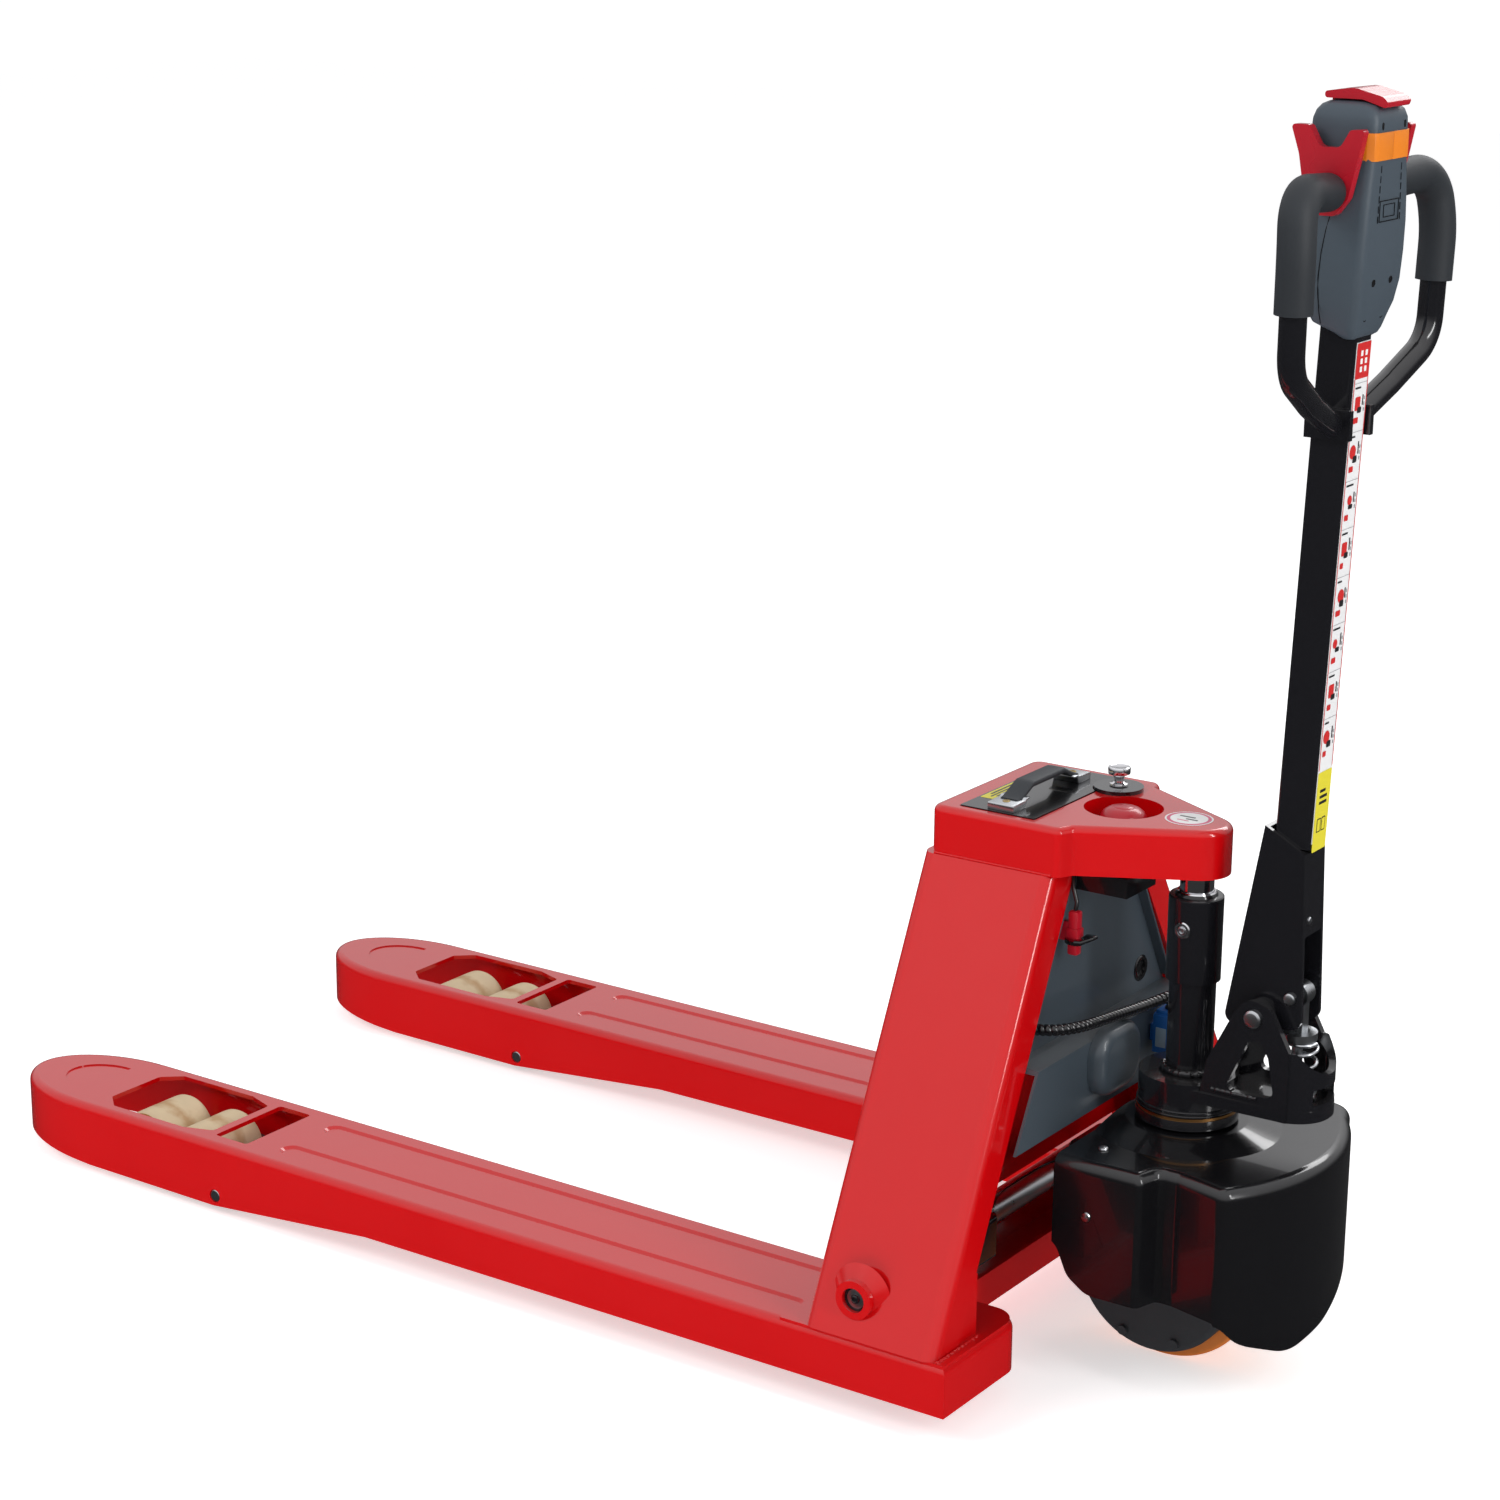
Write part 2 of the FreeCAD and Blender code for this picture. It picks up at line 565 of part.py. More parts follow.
def load_arm(y):
    """Cranked arm: two plates to the bogie stubs, a hub on the pin and twin lever plates."""
    pivot = ARM_PIVOT
    bogie = (BOGIE_STATION, ROLLER_R)
    lever = arm_lever_pin()
    shape = bar_y(pivot[0], y - 54.5, y + 54.5, pivot[1], 12.5)
    for side in (-1, 1):
        a, b = sorted((y + side * 46.5, y + side * 54.5))
        shape = shape.fuse(link(pivot, 12.5, bogie, 13, a, b))
        a, b = sorted((y + side * 39.2, y + side * 54.5))
        shape = shape.fuse(bar_y(bogie[0], a, b, bogie[1], 6))
        a, b = sorted((y + side * 10, y + side * 18))
        shape = shape.fuse(link(pivot, 12.5, lever, 10, a, b))
    shape = shape.fuse(bar_y(lever[0], y - 18, y + 18, lever[1], 6))
    return shape.cut(bar_y(pivot[0], y - 60, y + 60, pivot[1], 7.5 + RUN_CLEARANCE)).removeSplitter()


def bogie(y):
    """Two side plates joined by the axles of the tandem rollers."""
    front = (ROLLER_STATIONS["front"], ROLLER_R)
    rear = (ROLLER_STATIONS["rear"], ROLLER_R)
    shape = bar_y(front[0], y - 45.5, y + 45.5, front[1], 8).fuse(bar_y(rear[0], y - 45.5, y + 45.5, rear[1], 8))
    for side in (-1, 1):
        a, b = sorted((y + side * 39.5, y + side * 45.5))
        shape = shape.fuse(link(front, 13, rear, 13, a, b))
    return shape.cut(bar_y(BOGIE_STATION, y - 60, y + 60, ROLLER_R, 6 + RUN_CLEARANCE)).removeSplitter()


def load_roller(station, y):
    """Solid roller with rounded tread edges and a bore for its axle."""
    shape = bar_y(station, y - ROLLER_HALF_WIDTH, y + ROLLER_HALF_WIDTH, ROLLER_R, ROLLER_R)
    shape = shape.makeFillet(3, [e for e in shape.Edges if e.Curve.TypeId == "Part::GeomCircle"])
    return shape.cut(bar_y(station, y - 50, y + 50, ROLLER_R, 8 + RUN_CLEARANCE))


# ---------------------------------------------------------------- steered drive unit
def bearing_housing():
    """Ring that carries the steered unit."""
    shape = bar_z(STEER, 0, HOUSING_BOTTOM, BASE_BOTTOM - 3, 52)
    return shape.cut(bar_z(STEER, 0, 200, 300, NECK_R + RUN_CLEARANCE))


def thrust_bearing():
    ring = bar_z(STEER, 0, BASE_BOTTOM - 3, BASE_BOTTOM - 0.3, 51)
    return ring.cut(bar_z(STEER, 0, 200, 300, NECK_R + 1))


def lift_cylinder():
    """Stepped cylinder barrel with a blind bore for the piston rod."""
    step = 397.0
    shape = bar_z(STEER, 0, BASE_TOP, step, CYLINDER_LOW_R).fuse(bar_z(STEER, 0, step, CYLINDER_TOP, CYLINDER_R))
    shape = round_edges(shape, 2, lambda e: level_at(e, CYLINDER_TOP))
    return shape.cut(bar_z(STEER, 0, 312, CYLINDER_TOP + 1, ROD_R + RUN_CLEARANCE)).removeSplitter()


def tiller_bracket():
    """Base ring with two cheek plates for the tiller pivot and a round front wall around the spring."""
    pivot = TILLER_PIVOT
    base = 283.0
    shape = bar_z(STEER, 0, BASE_BOTTOM, BASE_TOP, 50)
    shape = shape.fuse(plan([(1375, -44), (1488, -40), (1528, -40), (1528, 40), (1488, 40), (1375, 44)],
                            [0, 0, 38, 38, 0, 0], base, base + 12))
    for side in (-1, 1):
        a, b = sorted((side * 33, side * 40))
        cheek = [(1404, base), (1500, base), (1500, 355), (pivot[0] + 17, pivot[1] + 14),
                 (pivot[0] - 4, pivot[1] + 18), (pivot[0] - 20, pivot[1] + 4), (1412, 330)]
        plate = side_plate(cheek, [0, 0, 2, 12, 14, 14, 10], a, b)
        plate = plate.fuse(bar_y(pivot[0], a, b, pivot[1], 18))
        window = [(1432, 303), (1486, 305), (1478, 346), (pivot[0] + 9, pivot[1] - 22), (pivot[0] - 4, pivot[1] - 24)]
        shape = shape.fuse(plate.cut(side_plate(window, [7, 7, 6, 5, 5], a - 5, b + 5)))
    wall = plan([(1487, -40), (1528, -40), (1528, 40), (1487, 40)], [0, 39, 39, 0], base, 355)
    wall = wall.cut(plan([(1480, -33), (1521, -33), (1521, 33), (1480, 33)], [0, 32, 32, 0], base, 360))
    dip = bar_x(1480, 1540, 0, 368, 38)
    slot = plan([(1500, -24), (1540, -24), (1540, 24), (1500, 24)], 0, 301, 317)
    shape = shape.fuse(wall.cut(dip).cut(slot))
    shape = shape.cut(bar_y(pivot[0], -60, 60, pivot[1], 9.2))
    hole = plan([(SPRING_STATION - 17, -8), (SPRING_STATION + 17, -8), (SPRING_STATION + 17, 8),
                 (SPRING_STATION - 17, 8)], 7.9, 270, 300)
    shape = shape.cut(hole)
    return shape.removeSplitter()


def drive_fork():
    """Steering neck, crown and the plate that carries the gear case."""
    shape = bar_z(STEER, 0, 206, BASE_BOTTOM, NECK_R)
    shape = shape.fuse(block(STEER - 45, STEER + 45, -60, 60, 206, 216))
    plate = block(STEER - 30, STEER + 30, 50, 60, 130, 216)
    return shape.fuse(plate).removeSplitter()


def gear_case():
    """Round gear case beside the wheel with a ring of bolts; the wheel shaft runs in its bore."""
    shape = bar_y(STEER, -62, -40, WHEEL_R, 86)
    shape = round_edges(shape, 6, lambda e: abs(e.BoundBox.YMax + 62) < 0.01)
    shape = shape.fuse(bar_y(STEER, -72, -60, WHEEL_R, 34))
    for i in range(8):
        angle = math.radians(22.5 + 45 * i)
        shape = shape.fuse(bar_y(STEER + 76 * math.cos(angle), -66, -61, WHEEL_R + 76 * math.sin(angle), 5))
    shape = shape.fuse(block(STEER - 30, STEER + 30, -60, -44, 180, 206))
    return shape.cut(bar_y(STEER, -68, -30, WHEEL_R, 14 + RUN_CLEARANCE)).removeSplitter()


def drive_motor():
    """Drive motor beside the gear case, under the cover's front lobe."""
    x, y = 1468.0, -96.0
    shape = bar_z(x, y, 104, 198, 26)
    shape = round_edges(shape, 5, lambda e: level_at(e, 104) or level_at(e, 198))
    return shape.fuse(block(x - 22, x, y + 14, -62, 112, 142)).removeSplitter().cut(gear_case())


def cover_outline(inset):
    """Plan wire of the drive cover: side walls with a waist groove on the left, a broad arc in front."""
    w = COVER_HALF_WIDTH - inset
    centre_x, radius = LOBE_ARC
    reach = radius - inset
    near_y = -137 + inset
    far_y = 118.0
    near_x = centre_x + math.sqrt(reach * reach - near_y * near_y)
    far_x = centre_x + math.sqrt(reach * reach - far_y * far_y)
    rear = COVER_REAR if inset == 0 else COVER_REAR - 20
    left = [(rear, -w), (1402 - inset / 3, -w), (1410, -123 + inset), (1427, -123 + inset), (near_x, near_y)]
    right = [(far_x, far_y), (far_x - 14, w), (rear, w)]
    points = [V(at(x), y, 0) for x, y in left]
    wire = rounded_wire(points + [V(at(x), y, 0) for x, y in right], [0, 7, 7, 8, 0, 0, 26, 0])
    chord = [e for e in wire.Edges if abs(e.CenterOfMass.y - (near_y + far_y) / 2) < 0.01][0]
    bow = Part.Arc(V(at(near_x), near_y, 0), V(at(centre_x + reach), 0, 0), V(at(far_x), far_y, 0)).toShape()
    kept = [e for e in wire.Edges if not e.isSame(chord)]
    return Part.Face(Part.Wire(Part.__sortEdges__(kept + [bow])))


def cover_solid(inset, low, high, edge_r):
    """Upright prism of the cover's plan with its top edges rounded."""
    face = cover_outline(inset)
    face.translate(V(0, 0, low))
    shape = face.extrude(V(0, 0, high - low))
    corner = [e for e in shape.Edges if e.BoundBox.ZLength > 50 and e.CenterOfMass.x > at(1470)
              and e.CenterOfMass.y < -100]
    shape = shape.makeFillet(14 - inset, corner)
    return round_edges(shape, edge_r, lambda e: level_at(e, high) and e.BoundBox.XMax > at(COVER_REAR + 1))


def drive_cover():
    """Moulded cover: open at the rear and below, domed around the neck, its front lobe cut like a shield."""
    shape = cover_solid(0, 20, COVER_TOP, 12)
    dome = Part.makeCone(104, 62, HOUSING_BOTTOM - 3 - COVER_TOP + 2, V(at(STEER), 0, COVER_TOP - 2), V(0, 0, 1))
    shape = shape.fuse(dome.common(block(COVER_REAR, 1500, -140, 140, COVER_TOP - 2, COVER_TOP + 20)))
    shape = shape.cut(cover_solid(COVER_WALL, 0, COVER_TOP - COVER_WALL, 12 - COVER_WALL))
    rear = [(1280, 0), (1280, 162), (1311, 146), (1324, 116), (1346, 101), (1478, 101), (1478, 0)]
    shape = shape.cut(side_plate(rear, [0, 0, 20, 24, 26, 0, 0], -200, 200))
    front = [(-190, 0), (-190, 112), (-142, 108), (-116, 76), (-60, 54), (0, 66), (100, 100), (190, 118), (190, 0)]
    shape = shape.cut(cross_plate(front, [0, 0, 20, 40, 60, 60, 60, 0, 0], 1477, 1560))
    return shape.cut(bar_z(STEER, 0, 200, 300, NECK_R + 3)).removeSplitter()


def cover_screws():
    """Round-headed screws of the drive cover."""
    top_x, top_y, side_x, side_z = 1338.0, 108.0, 1344.0, 184.0
    wall = COVER_HALF_WIDTH
    heads = [bar_z(top_x, side * top_y, COVER_TOP, COVER_TOP + 3, 5) for side in (-1, 1)]
    heads.append(bar_y(side_x, -wall - 3, -wall, side_z, 5))
    heads.append(bar_y(side_x, wall, wall + 3, side_z, 5))
    return Part.makeCompound(heads)


def tiller_pivot_pin():
    x, z = TILLER_PIVOT
    return bar_y(x, -45, 45, z, 9.0 + 0.1)


def return_spring():
    """Envelope of the compression spring under the rod's flange."""
    low, high = 295.0, 357.8
    shape = bar_z(SPRING_STATION, 0, low, high, 17)
    return shape.cut(bar_z(SPRING_STATION, 0, low - 1, high + 1, 12.5))


# ---------------------------------------------------------------- drive wheel
def drive_tyre():
    shape = bar_y(STEER, -WHEEL_HALF_WIDTH, WHEEL_HALF_WIDTH, WHEEL_R, WHEEL_R)
    shape = shape.makeFillet(4, [e for e in shape.Edges if e.Curve.TypeId == "Part::GeomCircle"])
    return shape.cut(bar_y(STEER, -50, 50, WHEEL_R, 78))


def drive_hub():
    """Cast hub with a dished face and the shaft that runs in the gear case."""
    shape = bar_y(STEER, -WHEEL_HALF_WIDTH, WHEEL_HALF_WIDTH, WHEEL_R, 78)
    dish = bar_y(STEER, 20, 40, WHEEL_R, 66).cut(bar_y(STEER, 10, 50, WHEEL_R, 24))
    return shape.cut(dish).fuse(bar_y(STEER, -66, 0, WHEEL_R, 14)).removeSplitter()


# ---------------------------------------------------------------- tiller
def tube_point(z):
    """Station of the tiller tube's centre line at a height."""
    share = (z - TUBE_BOTTOM[1]) / (TUBE_TOP[1] - TUBE_BOTTOM[1])
    return TUBE_BOTTOM[0] + share * (TUBE_TOP[0] - TUBE_BOTTOM[0])


def tiller_yoke():
    """Folded channel from the pivot pin up to the tube, open on its front side below."""
    half = 22.5
    gauge = 4.5
    outline = [(1419, 366), (1503, 374), (1497, 552), (1454, 575)]
    shape = side_plate(outline, [10, 12, 0, 0], -half, half)
    inner = [(1426, 360), (1520, 360), (1520, 585), (1459, 585)]
    shape = shape.cut(side_plate(inner, 0, -half + gauge, half - gauge))
    front = side_plate([(1495, 468), (1499.5, 468), (1497, 552), (1492.5, 555)], 0, -half + gauge, half - gauge)
    shape = shape.fuse(front)
    for side in (-1, 1):
        a, b = sorted((side * 22, side * 31.5))
        shape = shape.fuse(bar_y(TILLER_PIVOT[0], a, b, TILLER_PIVOT[1], 16))
    shape = shape.cut(bar_y(TILLER_PIVOT[0], -60, 60, TILLER_PIVOT[1], 9.1 + RUN_CLEARANCE))
    return shape.cut(bar_y(SPRING_PIN[0], -60, 60, SPRING_PIN[1], 6)).removeSplitter()


def tube_solid(inset, radius):
    """Leaning square bar: the tube's outside, or its hollow when inset by the wall."""
    half = TUBE_SIZE / 2 - inset
    half_y = 17.9 - inset
    low = V(at(tube_point(480)), 0, 480)
    high = V(at(TUBE_TOP[0]), 0, TUBE_TOP[1])
    corners = [low + V(sx * half, sy * half_y, 0) for sx, sy in ((-1, -1), (1, -1), (1, 1), (-1, 1))]
    return Part.Face(rounded_wire(corners, radius)).extrude(high - low)


def tiller_tube():
    """Square tube, rounded along its edges, its front wall cut away where the yoke closes it."""
    shape = tube_solid(0, 4).cut(tube_solid(3, 2))
    return shape.cut(block(1490, 1520, -30, 30, 470, 556))


def tiller_label():
    """Thin label strip on the front face of the tube."""
    z0, z1 = 562.0, 1046.0
    half = TUBE_SIZE / 2
    corners = [(tube_point(z0) + half + 0.05, z0), (tube_point(z1) + half + 0.05, z1),
               (tube_point(z1) + half + 0.65, z1), (tube_point(z0) + half + 0.65, z0)]
    return side_plate(corners, 0, -15, 15)


def head_side(inset):
    """Side outline of the control head as (station, z)."""
    return [(1474 + inset, HEAD_BOTTOM + 10 + inset), (1518, HEAD_BOTTOM - 4 + inset), (1531.5 - inset, 1100),
            (1534 - inset, 1160), (1535 - inset, 1251 - inset), (1500, HEAD_TOP - inset),
            (1470 + inset, HEAD_TOP - inset), (1466 + inset, 1160)]


def control_head():
    """Shield-shaped control head, hollow, with bores for throttle shaft, button and handle loop."""
    def body(inset):
        side = side_plate(head_side(inset), [8, 10, 60, 80, 9, 40, 12, 60], -60, 60)
        front = [(-30 + inset, HEAD_BOTTOM - 8 + inset), (30 - inset, HEAD_BOTTOM - 8 + inset),
                 (46 - inset, 1090), (48 - inset, 1150), (38 - inset, 1212), (35 - inset, HEAD_TOP + 2 - inset),
                 (-35 + inset, HEAD_TOP + 2 - inset), (-38 + inset, 1212), (-48 + inset, 1150), (-46 + inset, 1090)]
        radii = [10, 10, 40, 60, 60, 12, 12, 60, 60, 40]
        return side.common(cross_plate(front, radii, 1440, 1560))

    shape = body(0).cut(body(4))
    shape = shape.cut(tube_solid(0, 4)).cut(head_band())
    shape = shape.cut(bar_y(ARM_ROOT[0], -80, 80, ARM_ROOT[1], 13.2))
    return shape.cut(block(1478, 1512, -17, 17, HEAD_TOP - 12, HEAD_TOP + 5)).removeSplitter()


def handle_path():
    """Centre line of the left half of the handle loop."""
    x, z = ARM_ROOT
    return [V(at(x), -42, z), V(at(x + 14), -143, z + 7), V(at(1518), -153, 1140), V(at(1516), -149, 1030),
            V(at(1507), -84, 996), V(at(1500), -24, 970)]


def handle_loop():
    """Bent steel loop: two arms out of the head, down and back in to the tube, with a clamp."""
    left = pipe(handle_path(), LOOP_RADII, 12.5)
    foot = block(1474, 1520, -26, -19.2, 956, 984)
    left = left.fuse(foot).cut(block(1440, 1560, -19.1, 60, 940, 1000))
    return Part.makeCompound([left, mirrored(left)])


def handle_grips():
    """Thick moulded sleeves over the upper part of the loop."""
    path = handle_path()
    start = path[0] + (path[1] - path[0]) * 0.17
    end = path[2] + (path[3] - path[2]) * 0.48
    sleeve = pipe([start, path[1], path[2], end], LOOP_RADII[:2], 17.5)
    sleeve = sleeve.cut(pipe(path, LOOP_RADII, 12.5))
    return Part.makeCompound([sleeve, mirrored(sleeve)])


def head_band():
    """Orange band let into the front of the head under its top."""
    return block(1531, 1535.2, -34, 34, 1213, 1237)


def throttle():
    """Butterfly throttle: a winged paddle that turns on each arm of the handle, beside the head."""
    x, z = ARM_ROOT
    wings = [(x - 8, z - 20), (x + 9, z - 20), (x + 21, z - 4), (x + 29, z + 32), (x + 34, z + 58), (x + 20, z + 57),
             (x + 11, z + 41), (x - 9, z + 41), (x - 20, z + 60), (x - 38, z + 60), (x - 29, z + 34), (x - 22, z - 4)]
    paddles = []
    for side in (-1, 1):
        a, b = sorted((side * 46, side * 56))
        paddle = side_plate(wings, [7, 7, 12, 30, 3, 4, 8, 8, 4, 3, 30, 12], a, b)
        paddles.append(paddle.cut(bar_y(x, -80, 80, z, 15.4)))
    return Part.makeCompound(paddles)


def belly_button():
    """Safety button on the end of the tiller: a wedge cap on a square stem."""
    stem = block(1480, 1510, -15, 15, HEAD_TOP - 10, HEAD_TOP + 6)
    low = HEAD_TOP + PUSH_TRAVEL + 0.5
    cap = side_plate([(1477, low), (1514, low), (1537, low - 7), (1539, low - 2), (1534, low + 3), (1506, low + 10),
                      (1477, low + 6)], [3, 12, 2, 2, 5, 24, 3], -25, 25)
    return stem.fuse(cap).removeSplitter()


def spring_pin():
    return bar_y(SPRING_PIN[0], -27, 27, SPRING_PIN[1], 6)


def spring_rod():
    """Eye, square neck, flange and thin rod that guide the return spring."""
    x, z = SPRING_PIN
    eye = bar_y(x, -9, 9, z, 12).cut(bar_y(x, -20, 20, z, 6 + RUN_CLEARANCE))
    neck = block(x - 7, x + 7, -7, 7, 366, z - 9)
    flange = bar_z(x, 0, 358, 366, 19)
    rod = bar_z(x, 0, 297, 360, 5.5)
    return neck.fuse(flange).fuse(rod).cut(bar_y(x, -20, 20, z, 10)).fuse(eye).removeSplitter()


# ---------------------------------------------------------------- files
def moved(shape, y):
    copy = shape.copy()
    copy.translate(V(0, y, 0))
    return copy


def all_nodes():
    left = -FORK_Y
    nodes = {
        "left_fork": moved(fork(), left),
        "right_fork": moved(fork(), FORK_Y),
        "left_upright": upright(),
        "right_upright": mirrored(upright()),
        "load_arm_pins": Part.makeCompound([load_arm_pins(left), load_arm_pins(FORK_Y)]),
        "left_push_rod": push_rod(left),
        "right_push_rod": push_rod(FORK_Y),
        "left_load_arm": load_arm(left),
        "right_load_arm": load_arm(FORK_Y),
        "left_bogie": bogie(left),
        "right_bogie": bogie(FORK_Y),
    }
    for hand, y in (("left", left), ("right", FORK_Y)):
        for place, station in ROLLER_STATIONS.items():
            nodes[hand + "_" + place + "_roller"] = load_roller(station, y)
    makers = [hood, cross_member, front_plate, rear_panel, pump_tray, pump_motor, motor_controller, battery_pack,
              battery_handle, handle_brackets, latch_plate, latch_knob, stop_switch, stop_button,
              harness_connector, fuse_holder, piston_rod, rocker_shaft, rocker, bearing_housing,
              thrust_bearing, lift_cylinder, tiller_bracket, drive_fork, gear_case, drive_motor, drive_cover,
              cover_screws, tiller_pivot_pin, return_spring, drive_tyre, drive_hub, tiller_yoke, tiller_tube,
              tiller_label, control_head, handle_loop, handle_grips, head_band, throttle, belly_button,
              spring_pin, spring_rod]
    for maker in makers:
        nodes[maker.__name__] = maker()
    nodes["cable_harness"] = harness()
    return nodes


def main():
    os.makedirs("parts", exist_ok=True)
    low = V(1e9, 1e9, 1e9)
    high = V(-1e9, -1e9, -1e9)
    for name, shape in all_nodes().items():
        assert shape.isValid(), name
        shape.exportStep("parts/" + name + ".step")
        box = shape.BoundBox
        low = V(min(low.x, box.XMin), min(low.y, box.YMin), min(low.z, box.ZMin))
        high = V(max(high.x, box.XMax), max(high.y, box.YMax), max(high.z, box.ZMax))
        print(name, len(shape.Solids), round(shape.Volume / 1000, 1))
    print("box", [round(v, 2) for v in low], [round(v, 2) for v in high])


main()
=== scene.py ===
# %% [markdown]
# # A walkie pallet truck, dressed for the studio
# The frame holds every rigid piece at its real size. This lesson gives those pieces their finishes and
# builds the ones that need finer shapes than the frame has: rollers, knobs, screws, loom, control head and
# labels.

# %% Load the frame
import bpy
import bmesh
import json
import math
from mathutils import Matrix, Vector


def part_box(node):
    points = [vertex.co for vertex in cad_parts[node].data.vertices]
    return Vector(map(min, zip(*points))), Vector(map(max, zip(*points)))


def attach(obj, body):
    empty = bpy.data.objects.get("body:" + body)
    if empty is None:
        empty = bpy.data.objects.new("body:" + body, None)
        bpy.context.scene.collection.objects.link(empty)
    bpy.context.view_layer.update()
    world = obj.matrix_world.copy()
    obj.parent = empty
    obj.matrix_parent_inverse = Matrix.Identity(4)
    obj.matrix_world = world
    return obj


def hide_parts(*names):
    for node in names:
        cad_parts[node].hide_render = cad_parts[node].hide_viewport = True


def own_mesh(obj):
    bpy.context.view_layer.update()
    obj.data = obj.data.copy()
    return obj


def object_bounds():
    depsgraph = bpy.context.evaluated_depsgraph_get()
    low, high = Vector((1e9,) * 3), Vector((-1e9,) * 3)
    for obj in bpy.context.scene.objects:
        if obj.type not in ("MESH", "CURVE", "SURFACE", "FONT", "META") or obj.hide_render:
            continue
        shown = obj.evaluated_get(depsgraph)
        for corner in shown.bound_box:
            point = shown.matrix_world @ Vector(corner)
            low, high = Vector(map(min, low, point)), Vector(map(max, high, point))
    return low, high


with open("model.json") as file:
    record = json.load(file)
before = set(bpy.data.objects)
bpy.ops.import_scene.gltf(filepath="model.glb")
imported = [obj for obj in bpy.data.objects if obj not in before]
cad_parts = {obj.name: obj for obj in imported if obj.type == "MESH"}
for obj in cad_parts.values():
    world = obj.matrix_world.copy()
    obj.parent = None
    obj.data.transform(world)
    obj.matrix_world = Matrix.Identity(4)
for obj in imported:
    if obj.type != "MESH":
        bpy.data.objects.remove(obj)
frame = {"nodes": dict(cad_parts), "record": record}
cad_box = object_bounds()
nodes = frame["nodes"]
print("nodes in the frame:", len(nodes))

# %% [markdown]
# ## Where things are
# Most places come from the frame's own boxes. One helper gives a node's middle and another its size, so a
# knob or a screw sits on the piece it belongs to.


# %% Places read from the frame
def middle(node):
    low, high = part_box(node)
    return (low + high) / 2


def size(node):
    low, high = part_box(node)
    return high - low


whole_low, whole_high = Vector(cad_box[0]), Vector(cad_box[1])
fork_tip_x = whole_low.x
print("length, width, height:", [round(v, 3) for v in whole_high - whole_low])

# %% [markdown]
# ## Camera, floor and light
# The truck is seen from its left rear corner, a little from above, with a long lens that keeps the forks
# from flaring. The floor and the backdrop are one pale sheet, and large soft lamps give the gloss paint
# long highlights along its bends.


# %% Camera
def place_camera():
    azimuth, pitch, roll = math.radians(34.81), math.radians(-15.57), math.radians(0.43)
    away = Vector((-math.sin(azimuth) * math.cos(pitch), math.cos(azimuth) * math.cos(pitch),
                   math.sin(pitch)))
    right = away.cross(Vector((0, 0, 1))).normalized()
    up = right.cross(away)
    camera_right = right * math.cos(roll) + up * math.sin(roll)
    camera_up = up * math.cos(roll) - right * math.sin(roll)
    data = bpy.data.cameras.new("camera")
    data.lens = 78.93
    data.sensor_width = 36.0
    data.clip_end = 50.0
    camera = bpy.data.objects.new("camera", data)
    place = Vector((fork_tip_x + 2.7777, -2.7968, 1.4915))
    turn = Matrix((camera_right, camera_up, -away)).transposed().to_4x4()
    camera.matrix_world = Matrix.Translation(place) @ turn
    bpy.context.scene.collection.objects.link(camera)
    bpy.context.scene.camera = camera
    return camera


place_camera()


# %% Floor and lamps
def soft_lamp(name, place, aim, across, power):
    data = bpy.data.lights.new(name, "AREA")
    data.shape = "RECTANGLE"
    data.size, data.size_y = across
    data.energy = power
    lamp = bpy.data.objects.new(name, data)
    lamp.location = place
    lamp.rotation_euler = (Vector(aim) - Vector(place)).to_track_quat("-Z", "Y").to_euler()
    bpy.context.scene.collection.objects.link(lamp)
    return lamp


def pale_floor():
    mesh = bpy.data.meshes.new("floor")
    shape = bmesh.new()
    bmesh.ops.create_grid(shape, x_segments=1, y_segments=1, size=14.0)
    shape.to_mesh(mesh)
    shape.free()
    floor = bpy.data.objects.new("floor", mesh)
    bpy.context.scene.collection.objects.link(floor)
    floor.visible_glossy = False
    material = bpy.data.materials.new("pale_floor")
    material.use_nodes = True
    shader = material.node_tree.nodes["Principled BSDF"]
    shader.inputs["Base Color"].default_value = (0.90, 0.90, 0.90, 1)
    shader.inputs["Roughness"].default_value = 0.85
    shader.inputs["Specular IOR Level"].default_value = 0.0
    shader.inputs["Emission Color"].default_value = (1, 1, 1, 1)
    shader.inputs["Emission Strength"].default_value = 0.55
    mesh.materials.append(material)


